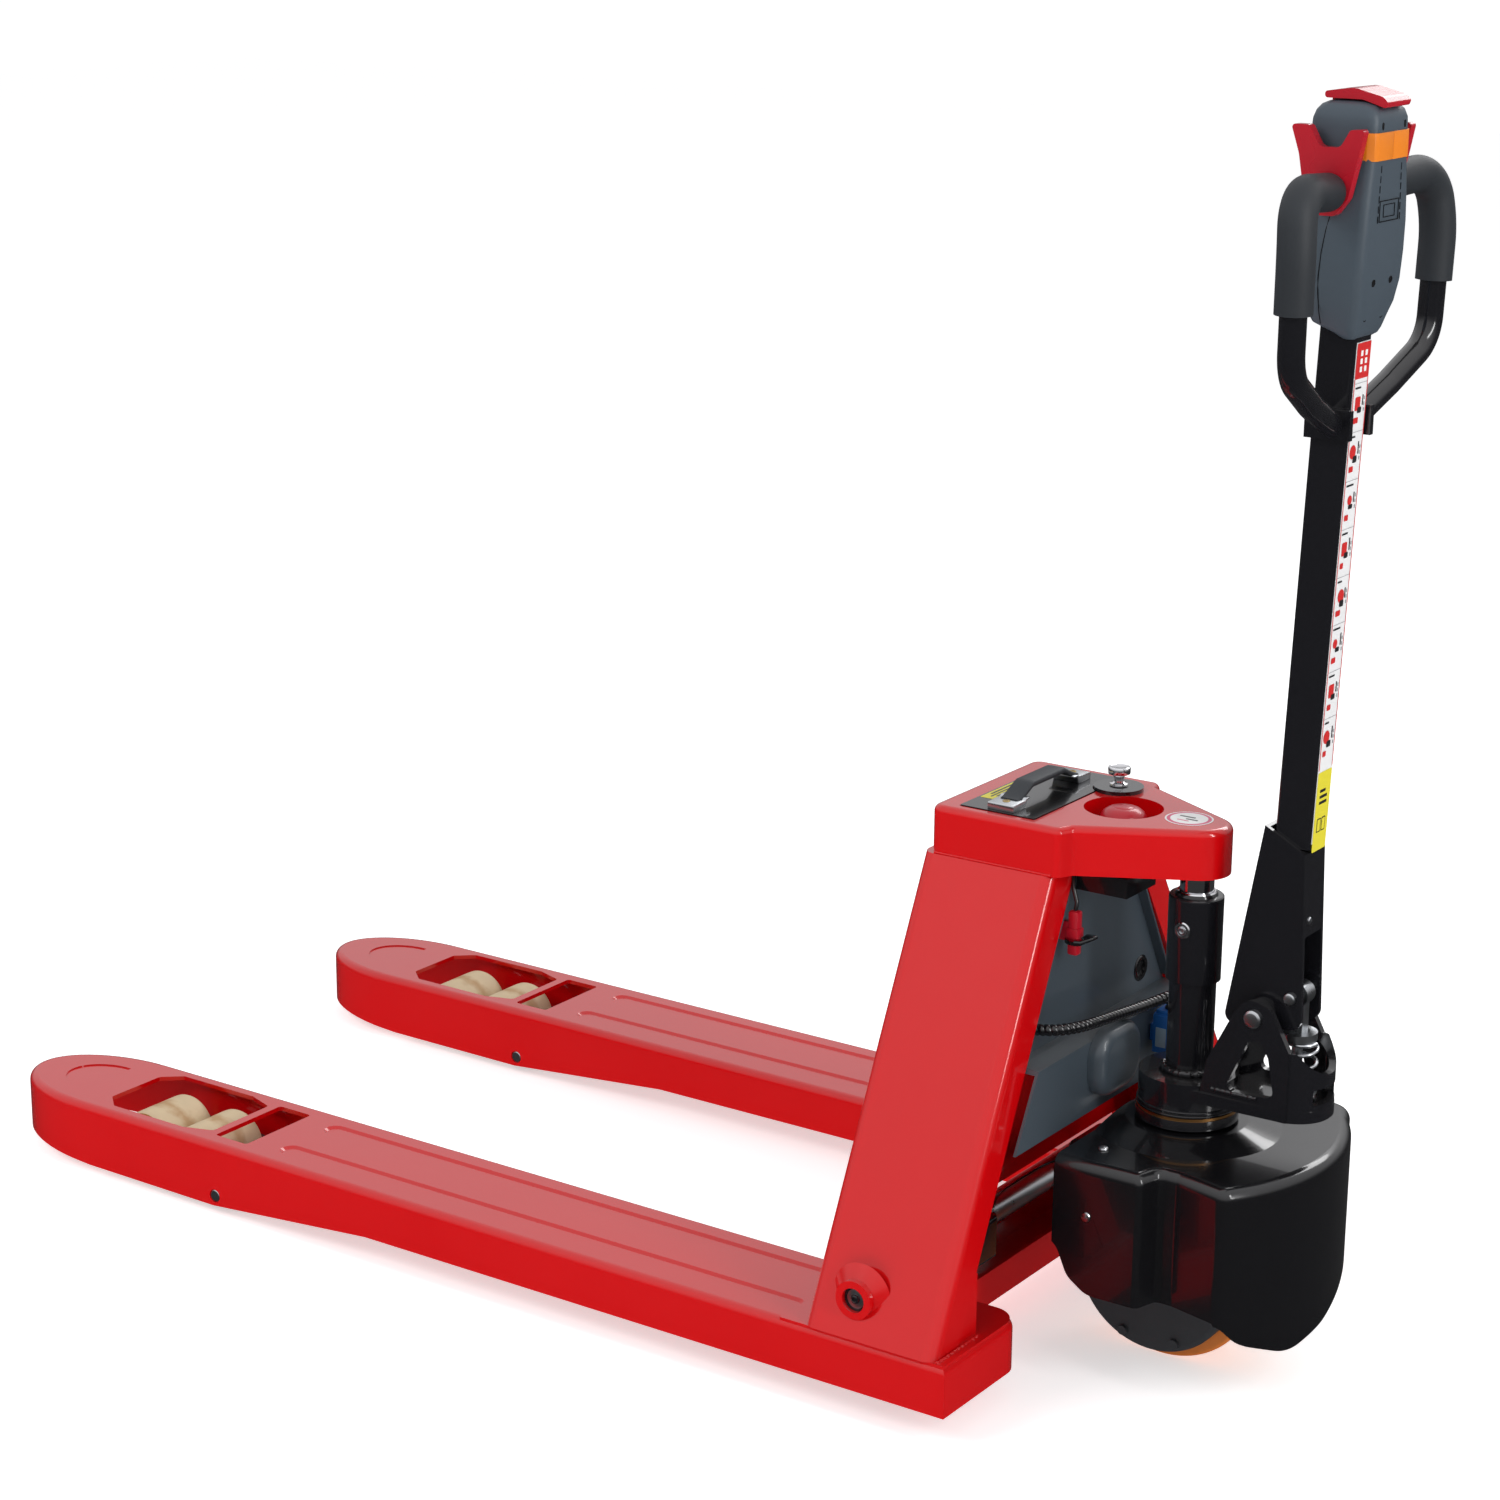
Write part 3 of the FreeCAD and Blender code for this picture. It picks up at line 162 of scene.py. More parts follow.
def studio_world():
    """White behind the object, a soft even fill, and a ceiling that gloss faces mirror."""
    world = bpy.data.worlds.new("studio")
    world.use_nodes = True
    tree = world.node_tree
    ground = tree.nodes["Background"]
    place = tree.nodes.new("ShaderNodeTexCoord")
    split = tree.nodes.new("ShaderNodeSeparateXYZ")
    ramp = tree.nodes.new("ShaderNodeValToRGB")
    tree.links.new(place.outputs["Generated"], split.inputs[0])
    shift = tree.nodes.new("ShaderNodeMath")
    shift.operation = "MULTIPLY_ADD"
    shift.inputs[1].default_value = 0.5
    shift.inputs[2].default_value = 0.5
    tree.links.new(split.outputs["Z"], shift.inputs[0])
    tree.links.new(shift.outputs[0], ramp.inputs["Fac"])
    stops = ((0.0, 0.02), (0.45, 0.04), (0.53, 0.22), (0.62, 0.62), (0.80, 0.85), (1.0, 1.0))
    for position, value in stops[1:-1]:
        ramp.color_ramp.elements.new(position).color = (value, value, value * 1.02, 1)
    for element, (position, value) in zip(ramp.color_ramp.elements, stops):
        element.position = position
        element.color = (value, value, value * 1.02, 1)
    path = tree.nodes.new("ShaderNodeLightPath")
    even = tree.nodes.new("ShaderNodeMix")
    even.data_type = "RGBA"
    even.inputs["A"].default_value = (0.50, 0.50, 0.51, 1)
    tree.links.new(path.outputs["Is Glossy Ray"], even.inputs["Factor"])
    tree.links.new(ramp.outputs["Color"], even.inputs["B"])
    behind = tree.nodes.new("ShaderNodeMix")
    behind.data_type = "RGBA"
    behind.inputs["B"].default_value = (1.05, 1.05, 1.05, 1)
    tree.links.new(path.outputs["Is Camera Ray"], behind.inputs["Factor"])
    tree.links.new(even.outputs["Result"], behind.inputs["A"])
    tree.links.new(behind.outputs["Result"], ground.inputs["Color"])
    bpy.context.scene.world = world


pale_floor()
studio_world()
soft_lamp("key", (-1.4, -3.2, 3.4), (0.1, 0, 0.3), (1.8, 1.8), 62).visible_glossy = False
soft_lamp("side", (3.6, -0.6, 2.2), (0.6, 0, 0.5), (0.5, 2.2), 40)
soft_lamp("back", (0.4, 3.6, 3.0), (0.3, 0, 0.4), (2.6, 1.2), 45)
bpy.context.scene.view_settings.view_transform = "Standard"

# %% [markdown]
# ## Shared surface effects
# Real finishes are never one flat value. Three small node groups carry what several finishes share: a
# slow change of tone, a fine skin such as orange peel or moulded grain, and dust that lies on top faces.


# %% Node groups
def group(name, inputs, outputs):
    tree = bpy.data.node_groups.new(name, "ShaderNodeTree")
    for label, kind, value in inputs:
        socket = tree.interface.new_socket(name=label, in_out="INPUT", socket_type=kind)
        socket.default_value = value
    for label, kind in outputs:
        tree.interface.new_socket(name=label, in_out="OUTPUT", socket_type=kind)
    return tree, tree.nodes.new("NodeGroupInput"), tree.nodes.new("NodeGroupOutput")


def noise(tree, scale_from, detail, vector):
    texture = tree.nodes.new("ShaderNodeTexNoise")
    texture.inputs["Detail"].default_value = detail
    if isinstance(scale_from, (int, float)):
        texture.inputs["Scale"].default_value = scale_from
    else:
        tree.links.new(scale_from, texture.inputs["Scale"])
    tree.links.new(vector, texture.inputs["Vector"])
    return texture.outputs["Fac"]


def mottle_group():
    """Tone and roughness that wander slowly over the surface."""
    tree, given, result = group("mottle", [("Color", "NodeSocketColor", (0.5, 0.5, 0.5, 1)),
                                           ("Scale", "NodeSocketFloat", 6.0),
                                           ("Amount", "NodeSocketFloat", 0.1),
                                           ("Roughness", "NodeSocketFloat", 0.4),
                                           ("Spread", "NodeSocketFloat", 0.1)],
                                [("Color", "NodeSocketColor"), ("Roughness", "NodeSocketFloat")])
    place = tree.nodes.new("ShaderNodeTexCoord").outputs["Object"]
    value = noise(tree, given.outputs["Scale"], 4.0, place)
    centred = tree.nodes.new("ShaderNodeMath")
    centred.operation = "SUBTRACT"
    centred.inputs[1].default_value = 0.5
    tree.links.new(value, centred.inputs[0])
    tone = tree.nodes.new("ShaderNodeMath")
    tone.operation = "MULTIPLY_ADD"
    tone.inputs[2].default_value = 1.0
    tree.links.new(centred.outputs[0], tone.inputs[0])
    tree.links.new(given.outputs["Amount"], tone.inputs[1])
    tinted = tree.nodes.new("ShaderNodeVectorMath")
    tinted.operation = "SCALE"
    tree.links.new(given.outputs["Color"], tinted.inputs[0])
    tree.links.new(tone.outputs[0], tinted.inputs["Scale"])
    rough = tree.nodes.new("ShaderNodeMath")
    rough.operation = "MULTIPLY_ADD"
    tree.links.new(centred.outputs[0], rough.inputs[0])
    tree.links.new(given.outputs["Spread"], rough.inputs[1])
    tree.links.new(given.outputs["Roughness"], rough.inputs[2])
    tree.links.new(tinted.outputs[0], result.inputs["Color"])
    tree.links.new(rough.outputs[0], result.inputs["Roughness"])
    return tree


def skin_group():
    """Fine height of a sprayed or moulded skin, as a normal."""
    tree, given, result = group("skin", [("Scale", "NodeSocketFloat", 300.0),
                                         ("Strength", "NodeSocketFloat", 0.1),
                                         ("Depth", "NodeSocketFloat", 0.0003)],
                                [("Normal", "NodeSocketVector")])
    place = tree.nodes.new("ShaderNodeTexCoord").outputs["Object"]
    bump = tree.nodes.new("ShaderNodeBump")
    tree.links.new(noise(tree, given.outputs["Scale"], 2.0, place), bump.inputs["Height"])
    tree.links.new(given.outputs["Strength"], bump.inputs["Strength"])
    tree.links.new(given.outputs["Depth"], bump.inputs["Distance"])
    tree.links.new(bump.outputs["Normal"], result.inputs["Normal"])
    return tree


def dust_group():
    """A thin pale film on faces that look up, broken by noise."""
    tree, given, result = group("dust", [("Color", "NodeSocketColor", (0.5, 0.5, 0.5, 1)),
                                         ("Roughness", "NodeSocketFloat", 0.4),
                                         ("Amount", "NodeSocketFloat", 0.1),
                                         ("Dust", "NodeSocketColor", (0.55, 0.5, 0.43, 1))],
                                [("Color", "NodeSocketColor"), ("Roughness", "NodeSocketFloat")])
    geometry = tree.nodes.new("ShaderNodeNewGeometry")
    split = tree.nodes.new("ShaderNodeSeparateXYZ")
    tree.links.new(geometry.outputs["Normal"], split.inputs[0])
    up = tree.nodes.new("ShaderNodeMapRange")
    up.inputs["From Min"].default_value = 0.2
    up.inputs["From Max"].default_value = 1.0
    tree.links.new(split.outputs["Z"], up.inputs["Value"])
    place = tree.nodes.new("ShaderNodeTexCoord").outputs["Object"]
    broken = tree.nodes.new("ShaderNodeMath")
    broken.operation = "MULTIPLY"
    tree.links.new(noise(tree, 22.0, 6.0, place), broken.inputs[0])
    tree.links.new(up.outputs[0], broken.inputs[1])
    mask = tree.nodes.new("ShaderNodeMath")
    mask.operation = "MULTIPLY"
    tree.links.new(broken.outputs[0], mask.inputs[0])
    tree.links.new(given.outputs["Amount"], mask.inputs[1])
    mix = tree.nodes.new("ShaderNodeMix")
    mix.data_type = "RGBA"
    tree.links.new(mask.outputs[0], mix.inputs["Factor"])
    tree.links.new(given.outputs["Color"], mix.inputs["A"])
    tree.links.new(given.outputs["Dust"], mix.inputs["B"])
    rough = tree.nodes.new("ShaderNodeMath")
    rough.operation = "ADD"
    rough.use_clamp = True
    tree.links.new(mask.outputs[0], rough.inputs[0])
    tree.links.new(given.outputs["Roughness"], rough.inputs[1])
    tree.links.new(mix.outputs["Result"], result.inputs["Color"])
    tree.links.new(rough.outputs[0], result.inputs["Roughness"])
    return tree


mottle = mottle_group()
skin = skin_group()
dust = dust_group()

# %% [markdown]
# ## Finishes
# One function makes a finish from the three groups and the Principled shader. Gloss paint gets a clear
# coat, moulded plastic a grain, steel its metal, and each keeps its own tone, roughness and dust.


# %% Finish maker
def add_group(material, tree, values):
    node = material.node_tree.nodes.new("ShaderNodeGroup")
    node.node_tree = tree
    for name, value in values.items():
        node.inputs[name].default_value = value
    return node


def finish(name, color, rough, metal=0.0, coat=0.0, tone=0.12, tone_scale=6.0, spread=0.08,
           grain_scale=500.0, grain=0.08, dusty=0.0, dust_color=(0.55, 0.5, 0.43, 1), mirror=0.5):
    """A finish with wandering tone, fine skin and dust; returns the material."""
    material = bpy.data.materials.new(name)
    material.use_nodes = True
    tree = material.node_tree
    shader = tree.nodes["Principled BSDF"]
    base = add_group(material, mottle, {"Color": (*color, 1), "Scale": tone_scale, "Amount": tone,
                                        "Roughness": rough, "Spread": spread})
    film = add_group(material, dust, {"Amount": dusty, "Dust": dust_color})
    tree.links.new(base.outputs["Color"], film.inputs["Color"])
    tree.links.new(base.outputs["Roughness"], film.inputs["Roughness"])
    tree.links.new(film.outputs["Color"], shader.inputs["Base Color"])
    tree.links.new(film.outputs["Roughness"], shader.inputs["Roughness"])
    peel = add_group(material, skin, {"Scale": grain_scale, "Strength": grain})
    tree.links.new(peel.outputs["Normal"], shader.inputs["Normal"])
    shader.inputs["Metallic"].default_value = metal
    shader.inputs["Coat Weight"].default_value = coat
    shader.inputs["Coat Roughness"].default_value = 0.04
    shader.inputs["Specular IOR Level"].default_value = mirror
    return material


finishes = {
    "red_paint": finish("red_gloss_paint", (0.62, 0.0012, 0.003), 0.22, coat=0.9, tone=0.08, dusty=0.02,
                        grain_scale=120.0, grain=0.05, mirror=0.2),
    "grey_paint": finish("slate_paint", (0.060, 0.078, 0.095), 0.34, coat=0.25, dusty=0.12,
                         grain_scale=260.0, grain=0.12),
    "black_paint": finish("black_gloss_paint", (0.008, 0.008, 0.010), 0.16, coat=0.6, dusty=0.03,
                          grain_scale=120.0, grain=0.03),
    "zinc_steel": finish("zinc_plate", (0.62, 0.64, 0.66), 0.30, metal=1.0, tone=0.2, tone_scale=40.0,
                         spread=0.2),
    "chrome_rod": finish("hard_chrome", (0.82, 0.82, 0.84), 0.10, metal=1.0, tone=0.03, grain=0.0),
    "cast_steel": finish("cast_iron_grey", (0.055, 0.060, 0.066), 0.5, metal=0.4, grain_scale=700.0, grain=0.5),
    "bronze": finish("bronze_washer", (0.48, 0.24, 0.08), 0.35, metal=1.0),
    "roller_polymer": finish("cream_polyurethane", (0.62, 0.50, 0.28), 0.55, dusty=0.8, tone=0.3,
                             tone_scale=30.0),
    "drive_polymer": finish("orange_polyurethane", (0.62, 0.17, 0.015), 0.4, tone=0.25, tone_scale=25.0),
    "black_plastic": finish("black_moulded_plastic", (0.006, 0.006, 0.007), 0.20, coat=0.5,
                            grain_scale=500.0, grain=0.03),
    "slate_plastic": finish("slate_moulded_plastic", (0.058, 0.078, 0.098), 0.44, grain_scale=1400.0, grain=0.30),
    "red_plastic": finish("crimson_plastic", (0.45, 0.006, 0.018), 0.28, coat=0.2),
    "orange_plastic": finish("orange_plastic", (0.80, 0.22, 0.012), 0.3),
    "blue_plastic": finish("blue_nylon", (0.010, 0.13, 0.46), 0.4),
    "label_film": finish("label_film", (0.80, 0.80, 0.80), 0.3),
    "grip_foam": finish("grip_rubber", (0.020, 0.024, 0.029), 0.58, grain_scale=1600.0, grain=0.35),
}
slot_of = {part["node"]: part["material_slot"] for part in frame["record"]["subparts"]}


def dress(obj, slot):
    """Give a piece the one finish of its slot."""
    obj.data.materials.clear()
    obj.data.materials.append(finishes[slot])
    return obj


for name, node in nodes.items():
    dress(node, slot_of[name])
print("finishes:", len(finishes))

# %% [markdown]
# ## Tools for the fine pieces
# Four small makers cover nearly every fine piece. `turned` spins a profile about an axis, as a lathe does.
# `lofted` joins rings into a skin. `swept` runs a round or lumpy section along a path. `slab` cuts a flat
# outline and rounds its rims.


# %% Mesh tools
def spot(x, y, z):
    """A place in millimetres: x from the fork tips, y from the middle, z from the floor."""
    return Vector((fork_tip_x + x / 1000, y / 1000, z / 1000))


def frame_of(direction):
    """Two unit vectors square to a direction."""
    ahead = Vector(direction).normalized()
    side = ahead.cross(Vector((0, 0, 1)) if abs(ahead.z) < 0.9 else Vector((1, 0, 0))).normalized()
    return side, ahead.cross(side)


def make(name, shape, material, body, stands_for=(), sharp=35.0):
    """Turn a bmesh into a named piece that rides on a body."""
    mesh = bpy.data.meshes.new(name)
    bmesh.ops.remove_doubles(shape, verts=shape.verts, dist=1e-6)
    bmesh.ops.recalc_face_normals(shape, faces=shape.faces)
    shape.to_mesh(mesh)
    shape.free()
    mesh.shade_smooth()
    mesh.set_sharp_from_angle(angle=math.radians(sharp))
    mesh.materials.append(finishes[material] if isinstance(material, str) else material)
    piece = bpy.data.objects.new(name, mesh)
    bpy.context.scene.collection.objects.link(piece)
    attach(piece, body)
    if stands_for:
        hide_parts(*stands_for)
    return piece


def turned(shape, profile, origin, direction, steps=48):
    """Spin (radius, distance) pairs in millimetres about an axis into a bmesh."""
    side, up = frame_of(direction)
    ahead = Vector(direction).normalized()
    rings = []
    for radius, along in profile:
        centre = origin + ahead * (along / 1000)
        if radius < 1e-6:
            rings.append([shape.verts.new(centre)])
            continue
        turn = [2 * math.pi * i / steps for i in range(steps)]
        rings.append([shape.verts.new(centre + (side * math.cos(a) + up * math.sin(a)) * (radius / 1000))
                      for a in turn])
    for low, high in zip(rings, rings[1:]):
        for i in range(steps):
            j = (i + 1) % steps
            corners = [low[i % len(low)], low[j % len(low)], high[j % len(high)], high[i % len(high)]]
            corners = list(dict.fromkeys(corners))
            if len(corners) > 2:
                shape.faces.new(corners)
    return shape


def lofted(shape, rings):
    """Join rings of equal count in their order and cap both ends."""
    for low, high in zip(rings, rings[1:]):
        for k in range(len(low)):
            n = (k + 1) % len(low)
            shape.faces.new((low[k], low[n], high[n], high[k]))
    shape.faces.new(rings[0][::-1])
    shape.faces.new(rings[-1])
    return shape


def swept(shape, path, radius, sides=16):
    """Sweep a section along a path; the radius may be a function of the distance gone and the angle."""
    side, up = frame_of(path[1] - path[0])
    gone = 0.0
    rings = []
    for i, place in enumerate(path):
        ahead = (path[min(i + 1, len(path) - 1)] - path[max(i - 1, 0)]).normalized()
        side = (side - ahead * side.dot(ahead)).normalized()
        up = ahead.cross(side)
        if i:
            gone += (place - path[i - 1]).length * 1000
        ring = []
        for k in range(sides):
            angle = 2 * math.pi * k / sides
            r = radius(gone, angle) if callable(radius) else radius
            ring.append(shape.verts.new(place + (side * math.cos(angle) + up * math.sin(angle)) * (r / 1000)))
        rings.append(ring)
    return lofted(shape, rings)


def slab(shape, corners, thick, rim=0.0, segments=2):
    """Extrude a closed outline of points along a vector and round its long rims."""
    mine = [shape.verts.new(c) for c in corners]
    face = shape.faces.new(mine)
    grown = bmesh.ops.extrude_face_region(shape, geom=[face])
    moved = [v for v in grown["geom"] if isinstance(v, bmesh.types.BMVert)]
    bmesh.ops.translate(shape, vec=thick, verts=moved)
    if rim:
        body = set(mine) | set(moved)
        edges = [e for e in shape.edges if e.verts[0] in body and e.verts[1] in body]
        bmesh.ops.bevel(shape, geom=edges, offset=rim / 1000, segments=segments, affect="EDGES", profile=0.5,
                        material=-1, clamp_overlap=True)
    return shape


def brick(shape, low, high, rim=1.0):
    """A box between two places with rounded edges."""
    corners = [Vector((low.x, low.y, low.z)), Vector((high.x, low.y, low.z)), Vector((high.x, high.y, low.z)),
               Vector((low.x, high.y, low.z))]
    return slab(shape, corners, Vector((0, 0, high.z - low.z)), rim)


def round_outline(low, high, radius, steps=6):
    """Corners of a rounded rectangle as (u, v) pairs."""
    points = []
    for cu, cv, start in ((high[0] - radius, high[1] - radius, 0), (low[0] + radius, high[1] - radius, 90),
                          (low[0] + radius, low[1] + radius, 180), (high[0] - radius, low[1] + radius, 270)):
        for i in range(steps + 1):
            a = math.radians(start + 90 * i / steps)
            points.append((cu + radius * math.cos(a), cv + radius * math.sin(a)))
    return points


def disc_outline(centre, radius, steps=32):
    turn = [2 * math.pi * i / steps for i in range(steps)]
    return [(centre[0] + radius * math.cos(a), centre[1] + radius * math.sin(a)) for a in turn]


# %% [markdown]
# ## Load rollers
# The polyurethane treads are turned with eased edges. Their end faces are a darker amber, partly the clear
# polyurethane and partly painted shade, while the running face is scuffed cream, with a darker rubbed patch in the
# middle. Each roller shows a steel bush.


# %% Rollers
def roller_finish():
    material = finish("roller_tread", (0.66, 0.52, 0.33), 0.62, tone=0.22, tone_scale=60.0, grain_scale=260.0,
                      grain=0.5, dusty=0.0)
    tree = material.node_tree
    shader = tree.nodes["Principled BSDF"]
    source = shader.inputs["Base Color"].links[0].from_socket
    place = tree.nodes.new("ShaderNodeTexCoord")
    split = tree.nodes.new("ShaderNodeSeparateXYZ")
    tree.links.new(place.outputs["Object"], split.inputs[0])
    reach = tree.nodes.new("ShaderNodeMath")
    reach.operation = "ABSOLUTE"
    tree.links.new(split.outputs["Y"], reach.inputs[0])
    off = tree.nodes.new("ShaderNodeMath")
    off.operation = "SUBTRACT"
    off.inputs[1].default_value = 0.2675
    tree.links.new(reach.outputs[0], off.inputs[0])
    away = tree.nodes.new("ShaderNodeMath")
    away.operation = "ABSOLUTE"
    tree.links.new(off.outputs[0], away.inputs[0])
    ragged = tree.nodes.new("ShaderNodeMath")
    ragged.operation = "MULTIPLY_ADD"
    ragged.inputs[1].default_value = 0.030
    tree.links.new(noise(tree, 55.0, 5.0, place.outputs["Object"]), ragged.inputs[0])
    tree.links.new(away.outputs[0], ragged.inputs[2])
    patch = tree.nodes.new("ShaderNodeMapRange")
    patch.inputs["From Min"].default_value = 0.016
    patch.inputs["From Max"].default_value = 0.028
    patch.inputs["To Min"].default_value = 0.75
    patch.inputs["To Max"].default_value = 0.0
    tree.links.new(ragged.outputs[0], patch.inputs["Value"])
    worn = tree.nodes.new("ShaderNodeMix")
    worn.data_type = "RGBA"
    worn.inputs["B"].default_value = (0.42, 0.23, 0.09, 1)
    tree.links.new(patch.outputs[0], worn.inputs["Factor"])
    tree.links.new(source, worn.inputs["A"])
    # Faces that point along the roller's axis get a darker amber: partly the clear polyurethane, partly painted shade
    # on the end faces.
    faces = tree.nodes.new("ShaderNodeSeparateXYZ")
    tree.links.new(place.outputs["Normal"], faces.inputs[0])
    end = tree.nodes.new("ShaderNodeMath")
    end.operation = "ABSOLUTE"
    tree.links.new(faces.outputs["Y"], end.inputs[0])
    facing = tree.nodes.new("ShaderNodeMapRange")
    facing.inputs["From Min"].default_value = 0.55
    facing.inputs["From Max"].default_value = 0.9
    tree.links.new(end.outputs[0], facing.inputs["Value"])
    end_amber_and_shade = tree.nodes.new("ShaderNodeMix")
    end_amber_and_shade.data_type = "RGBA"
    end_amber_and_shade.inputs["B"].default_value = (0.42, 0.19, 0.015, 1)
    tree.links.new(facing.outputs[0], end_amber_and_shade.inputs["Factor"])
    tree.links.new(worn.outputs["Result"], end_amber_and_shade.inputs["A"])
    tree.links.new(end_amber_and_shade.outputs["Result"], shader.inputs["Base Color"])
    return material


tread_finish = roller_finish()
for name in [n for n in nodes if n.endswith("_roller")]:
    half = size(name).y * 500
    r = size(name).z * 500
    shape = bmesh.new()
    turned(shape, [(15.5, -half + 1.5), (r - 4.5, -half + 1.2), (r - 1.6, -half + 2.4), (r - 0.3, -half + 5),
                   (r, -half + 9), (r, half - 9), (r - 0.3, half - 5), (r - 1.6, half - 2.4),
                   (r - 4.5, half - 1.2), (15.5, half - 1.5)], middle(name), (0, 1, 0), 72)
    make(name + "_tread", shape, tread_finish, name, (name,))
    shape = bmesh.new()
    turned(shape, [(0, -half + 3), (9, -half + 3), (9, -half + 0.6), (14.6, -half + 0.3), (15.5, -half + 1.4),
                   (15.5, half - 1.4), (14.6, half - 0.3), (9, half - 0.6), (9, half - 3), (0, half - 3)],
           middle(name), (0, 1, 0), 36)
    make(name + "_bush", shape, "zinc_steel", name)

# %% [markdown]
# ## Pins, caps and screws
# Every pin end is faced and chamfered. Screws get a domed head with a cross or socket recess, so no fastener
# is a bare disc.


# %% Pins and screws
def pin(name, radius, reach, origin, body, stands_for=(), chamfer=1.2, slot="zinc_steel"):
    """A pin along Y with chamfered, slightly domed ends."""
    shape = bmesh.new()
    turned(shape, [(0, -reach), (radius - chamfer * 1.6, -reach + 0.25), (radius - chamfer, -reach + 0.5),
                   (radius, -reach + 0.5 + chamfer), (radius, reach - 0.5 - chamfer),
                   (radius - chamfer, reach - 0.5),
                   (radius - chamfer * 1.6, reach - 0.25), (0, reach)], origin, (0, 1, 0), 40)
    return make(name, shape, slot, body, stands_for)


def screw_head(shape, place, direction, radius, tall, recess="cross"):
    """A domed head with a recess, sitting on a face at a place."""
    ahead = Vector(direction).normalized()
    dish = radius * 0.5 if recess == "socket" else radius * 0.12
    turned(shape, [(radius * 0.96, 0), (radius, tall * 0.3), (radius * 0.86, tall * 0.75), (dish + 0.3, tall),
                   (dish, tall * 0.92), (dish * 0.96, tall * 0.35), (0, tall * 0.3)], place, ahead, 24)
    if recess == "cross":
        side, up = frame_of(ahead)
        for along, across in ((side, up), (up, side)):
            low = [place + ahead * (tall / 1000) + along * (a * radius * 0.55 / 1000) + across * (b * 0.35 / 1000)
                   for a, b in ((-1, -1), (1, -1), (1, 1), (-1, 1))]
            slab(shape, low, ahead * 0.0001)


lift_pins = bmesh.new()
for hand in (-1, 1):
    y_mid = hand * 267.5
    turned(lift_pins, [(0, -74.9), (6.0, -74.7), (7.4, -73.6), (7.5, -70), (7.5, 70), (7.4, 73.6), (6.0, 74.7),
                       (0, 74.9)], spot(348, y_mid, 22), (0, 1, 0), 32)
make("load_arm_pins_turned", lift_pins, "zinc_steel", "fork_frame", ("load_arm_pins",))
shaft_mid = middle("rocker_shaft")
shaft_reach = size("rocker_shaft").y * 500
pin("rocker_shaft_turned", 12.5, shaft_reach, shaft_mid, "fork_frame", ("rocker_shaft",), 1.8)
rings = bmesh.new()
for side in (-1, 1):
    ahead = (0, side, 0)
    turned(rings, [(12.9, shaft_reach - 2.0), (12.9, shaft_reach + 0.4), (10.4, shaft_reach + 0.5),
                   (10.0, shaft_reach - 0.4), (8.6, shaft_reach - 0.5)], shaft_mid, ahead, 32)
    screw_head(rings, shaft_mid + Vector((0, side * shaft_reach / 1000, 0)), ahead, 5.0, 2.6, "socket")
make("rocker_shaft_rings", rings, "black_paint", "fork_frame")
pin("tiller_pivot_turned", 9.1, size("tiller_pivot_pin").y * 500, middle("tiller_pivot_pin"), "steering_head",
    ("tiller_pivot_pin",), 1.6)
pin("spring_pin_turned", 6.0, size("spring_pin").y * 500, middle("spring_pin"), "tiller", ("spring_pin",), 1.0)

cover_heads = bmesh.new()
low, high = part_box("cover_screws")
for side in (-1, 1):
    screw_head(cover_heads, Vector((low.x + 0.011, side * 0.150, low.z + 0.005)), (0, side, 0), 5.0, 2.9)
    screw_head(cover_heads, Vector((low.x + 0.005, side * 0.108, high.z - 0.003)), (0, 0, 1), 5.0, 2.9)
make("cover_screw_heads", cover_heads, "zinc_steel", "steering_head", ("cover_screws",))

details = bmesh.new()
turned(details, [(8.5, -2.5), (8.5, 0.6), (7.4, 1.6), (5.6, 1.7), (5.4, 0.2)], spot(1373, -27.3, 453),
       (0, -1, 0), 30)
make("bleed_ring", details, "chrome_rod", "steering_head")
details = bmesh.new()
screw_head(details, spot(1373, -27.0, 453), (0, -1, 0), 5.2, 2.6, "socket")
screw_head(details, spot(1497.4, -8, 483) + Vector((0.0012, 0, 0)), (1, 0, -0.04), 3.6, 2.2)
make("bleed_screw", details, "zinc_steel", "steering_head")

# %% [markdown]
# ## Hood fittings
# The emergency button is a turned red mushroom in its well. The latch knob is turned from chromed steel with
# a waist. The lid's carry strap is a rubber arch held by two plated clamps with countersunk screws.

# %% Stop button, knob and battery handle
low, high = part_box("stop_button")
centre = middle("stop_button")
base = Vector((centre.x, centre.y, 0))
top = high.z * 1000
shape = bmesh.new()
turned(shape, [(0, top - 0.2), (5, top - 0.25), (9.4, top - 0.7), (10.2, top - 1.2), (11.4, top - 1.1),
               (16.5, top - 2.8), (20.8, top - 6.0), (23.0, top - 9.6), (23.5, top - 12.5), (23.3, top - 15.5),
               (21.8, top - 17.0), (8.4, top - 17.0), (8.0, top - 18.2), (8.0, low.z * 1000)], base, (0, 0, 1), 64)
make("stop_mushroom", shape, "red_plastic", "stop_button", ("stop_button",))
shape = bmesh.new()
turned(shape, [(11.5, 534.2), (17.0, 534.2), (18.0, 535.4), (17.4, 538.6), (12.4, 539.2), (11.5, 538.6)],
       base, (0, 0, 1), 48)
make("stop_collar", shape, "black_plastic", "fork_frame")

centre = middle("latch_knob")
base = Vector((centre.x, centre.y, 0))
low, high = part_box("latch_knob")
top = high.z * 1000
shape = bmesh.new()
turned(shape, [(0, low.z * 1000), (4.4, low.z * 1000), (4.4, 562.2), (9.2, 562.3), (9.6, 563.0), (9.3, 564.6),
               (7.0, 565.2), (5.4, 566.6), (5.2, 569.6), (6.2, 572.4), (9.4, 574.2), (11.2, 575.0),
               (11.5, 576.2), (11.5, top - 1.6), (10.9, top - 0.5), (9.6, top), (8.8, top - 0.3), (0, top - 0.9)],
       base, (0, 0, 1), 56)
make("latch_knob_turned", shape, "chrome_rod", "latch", ("latch_knob",))

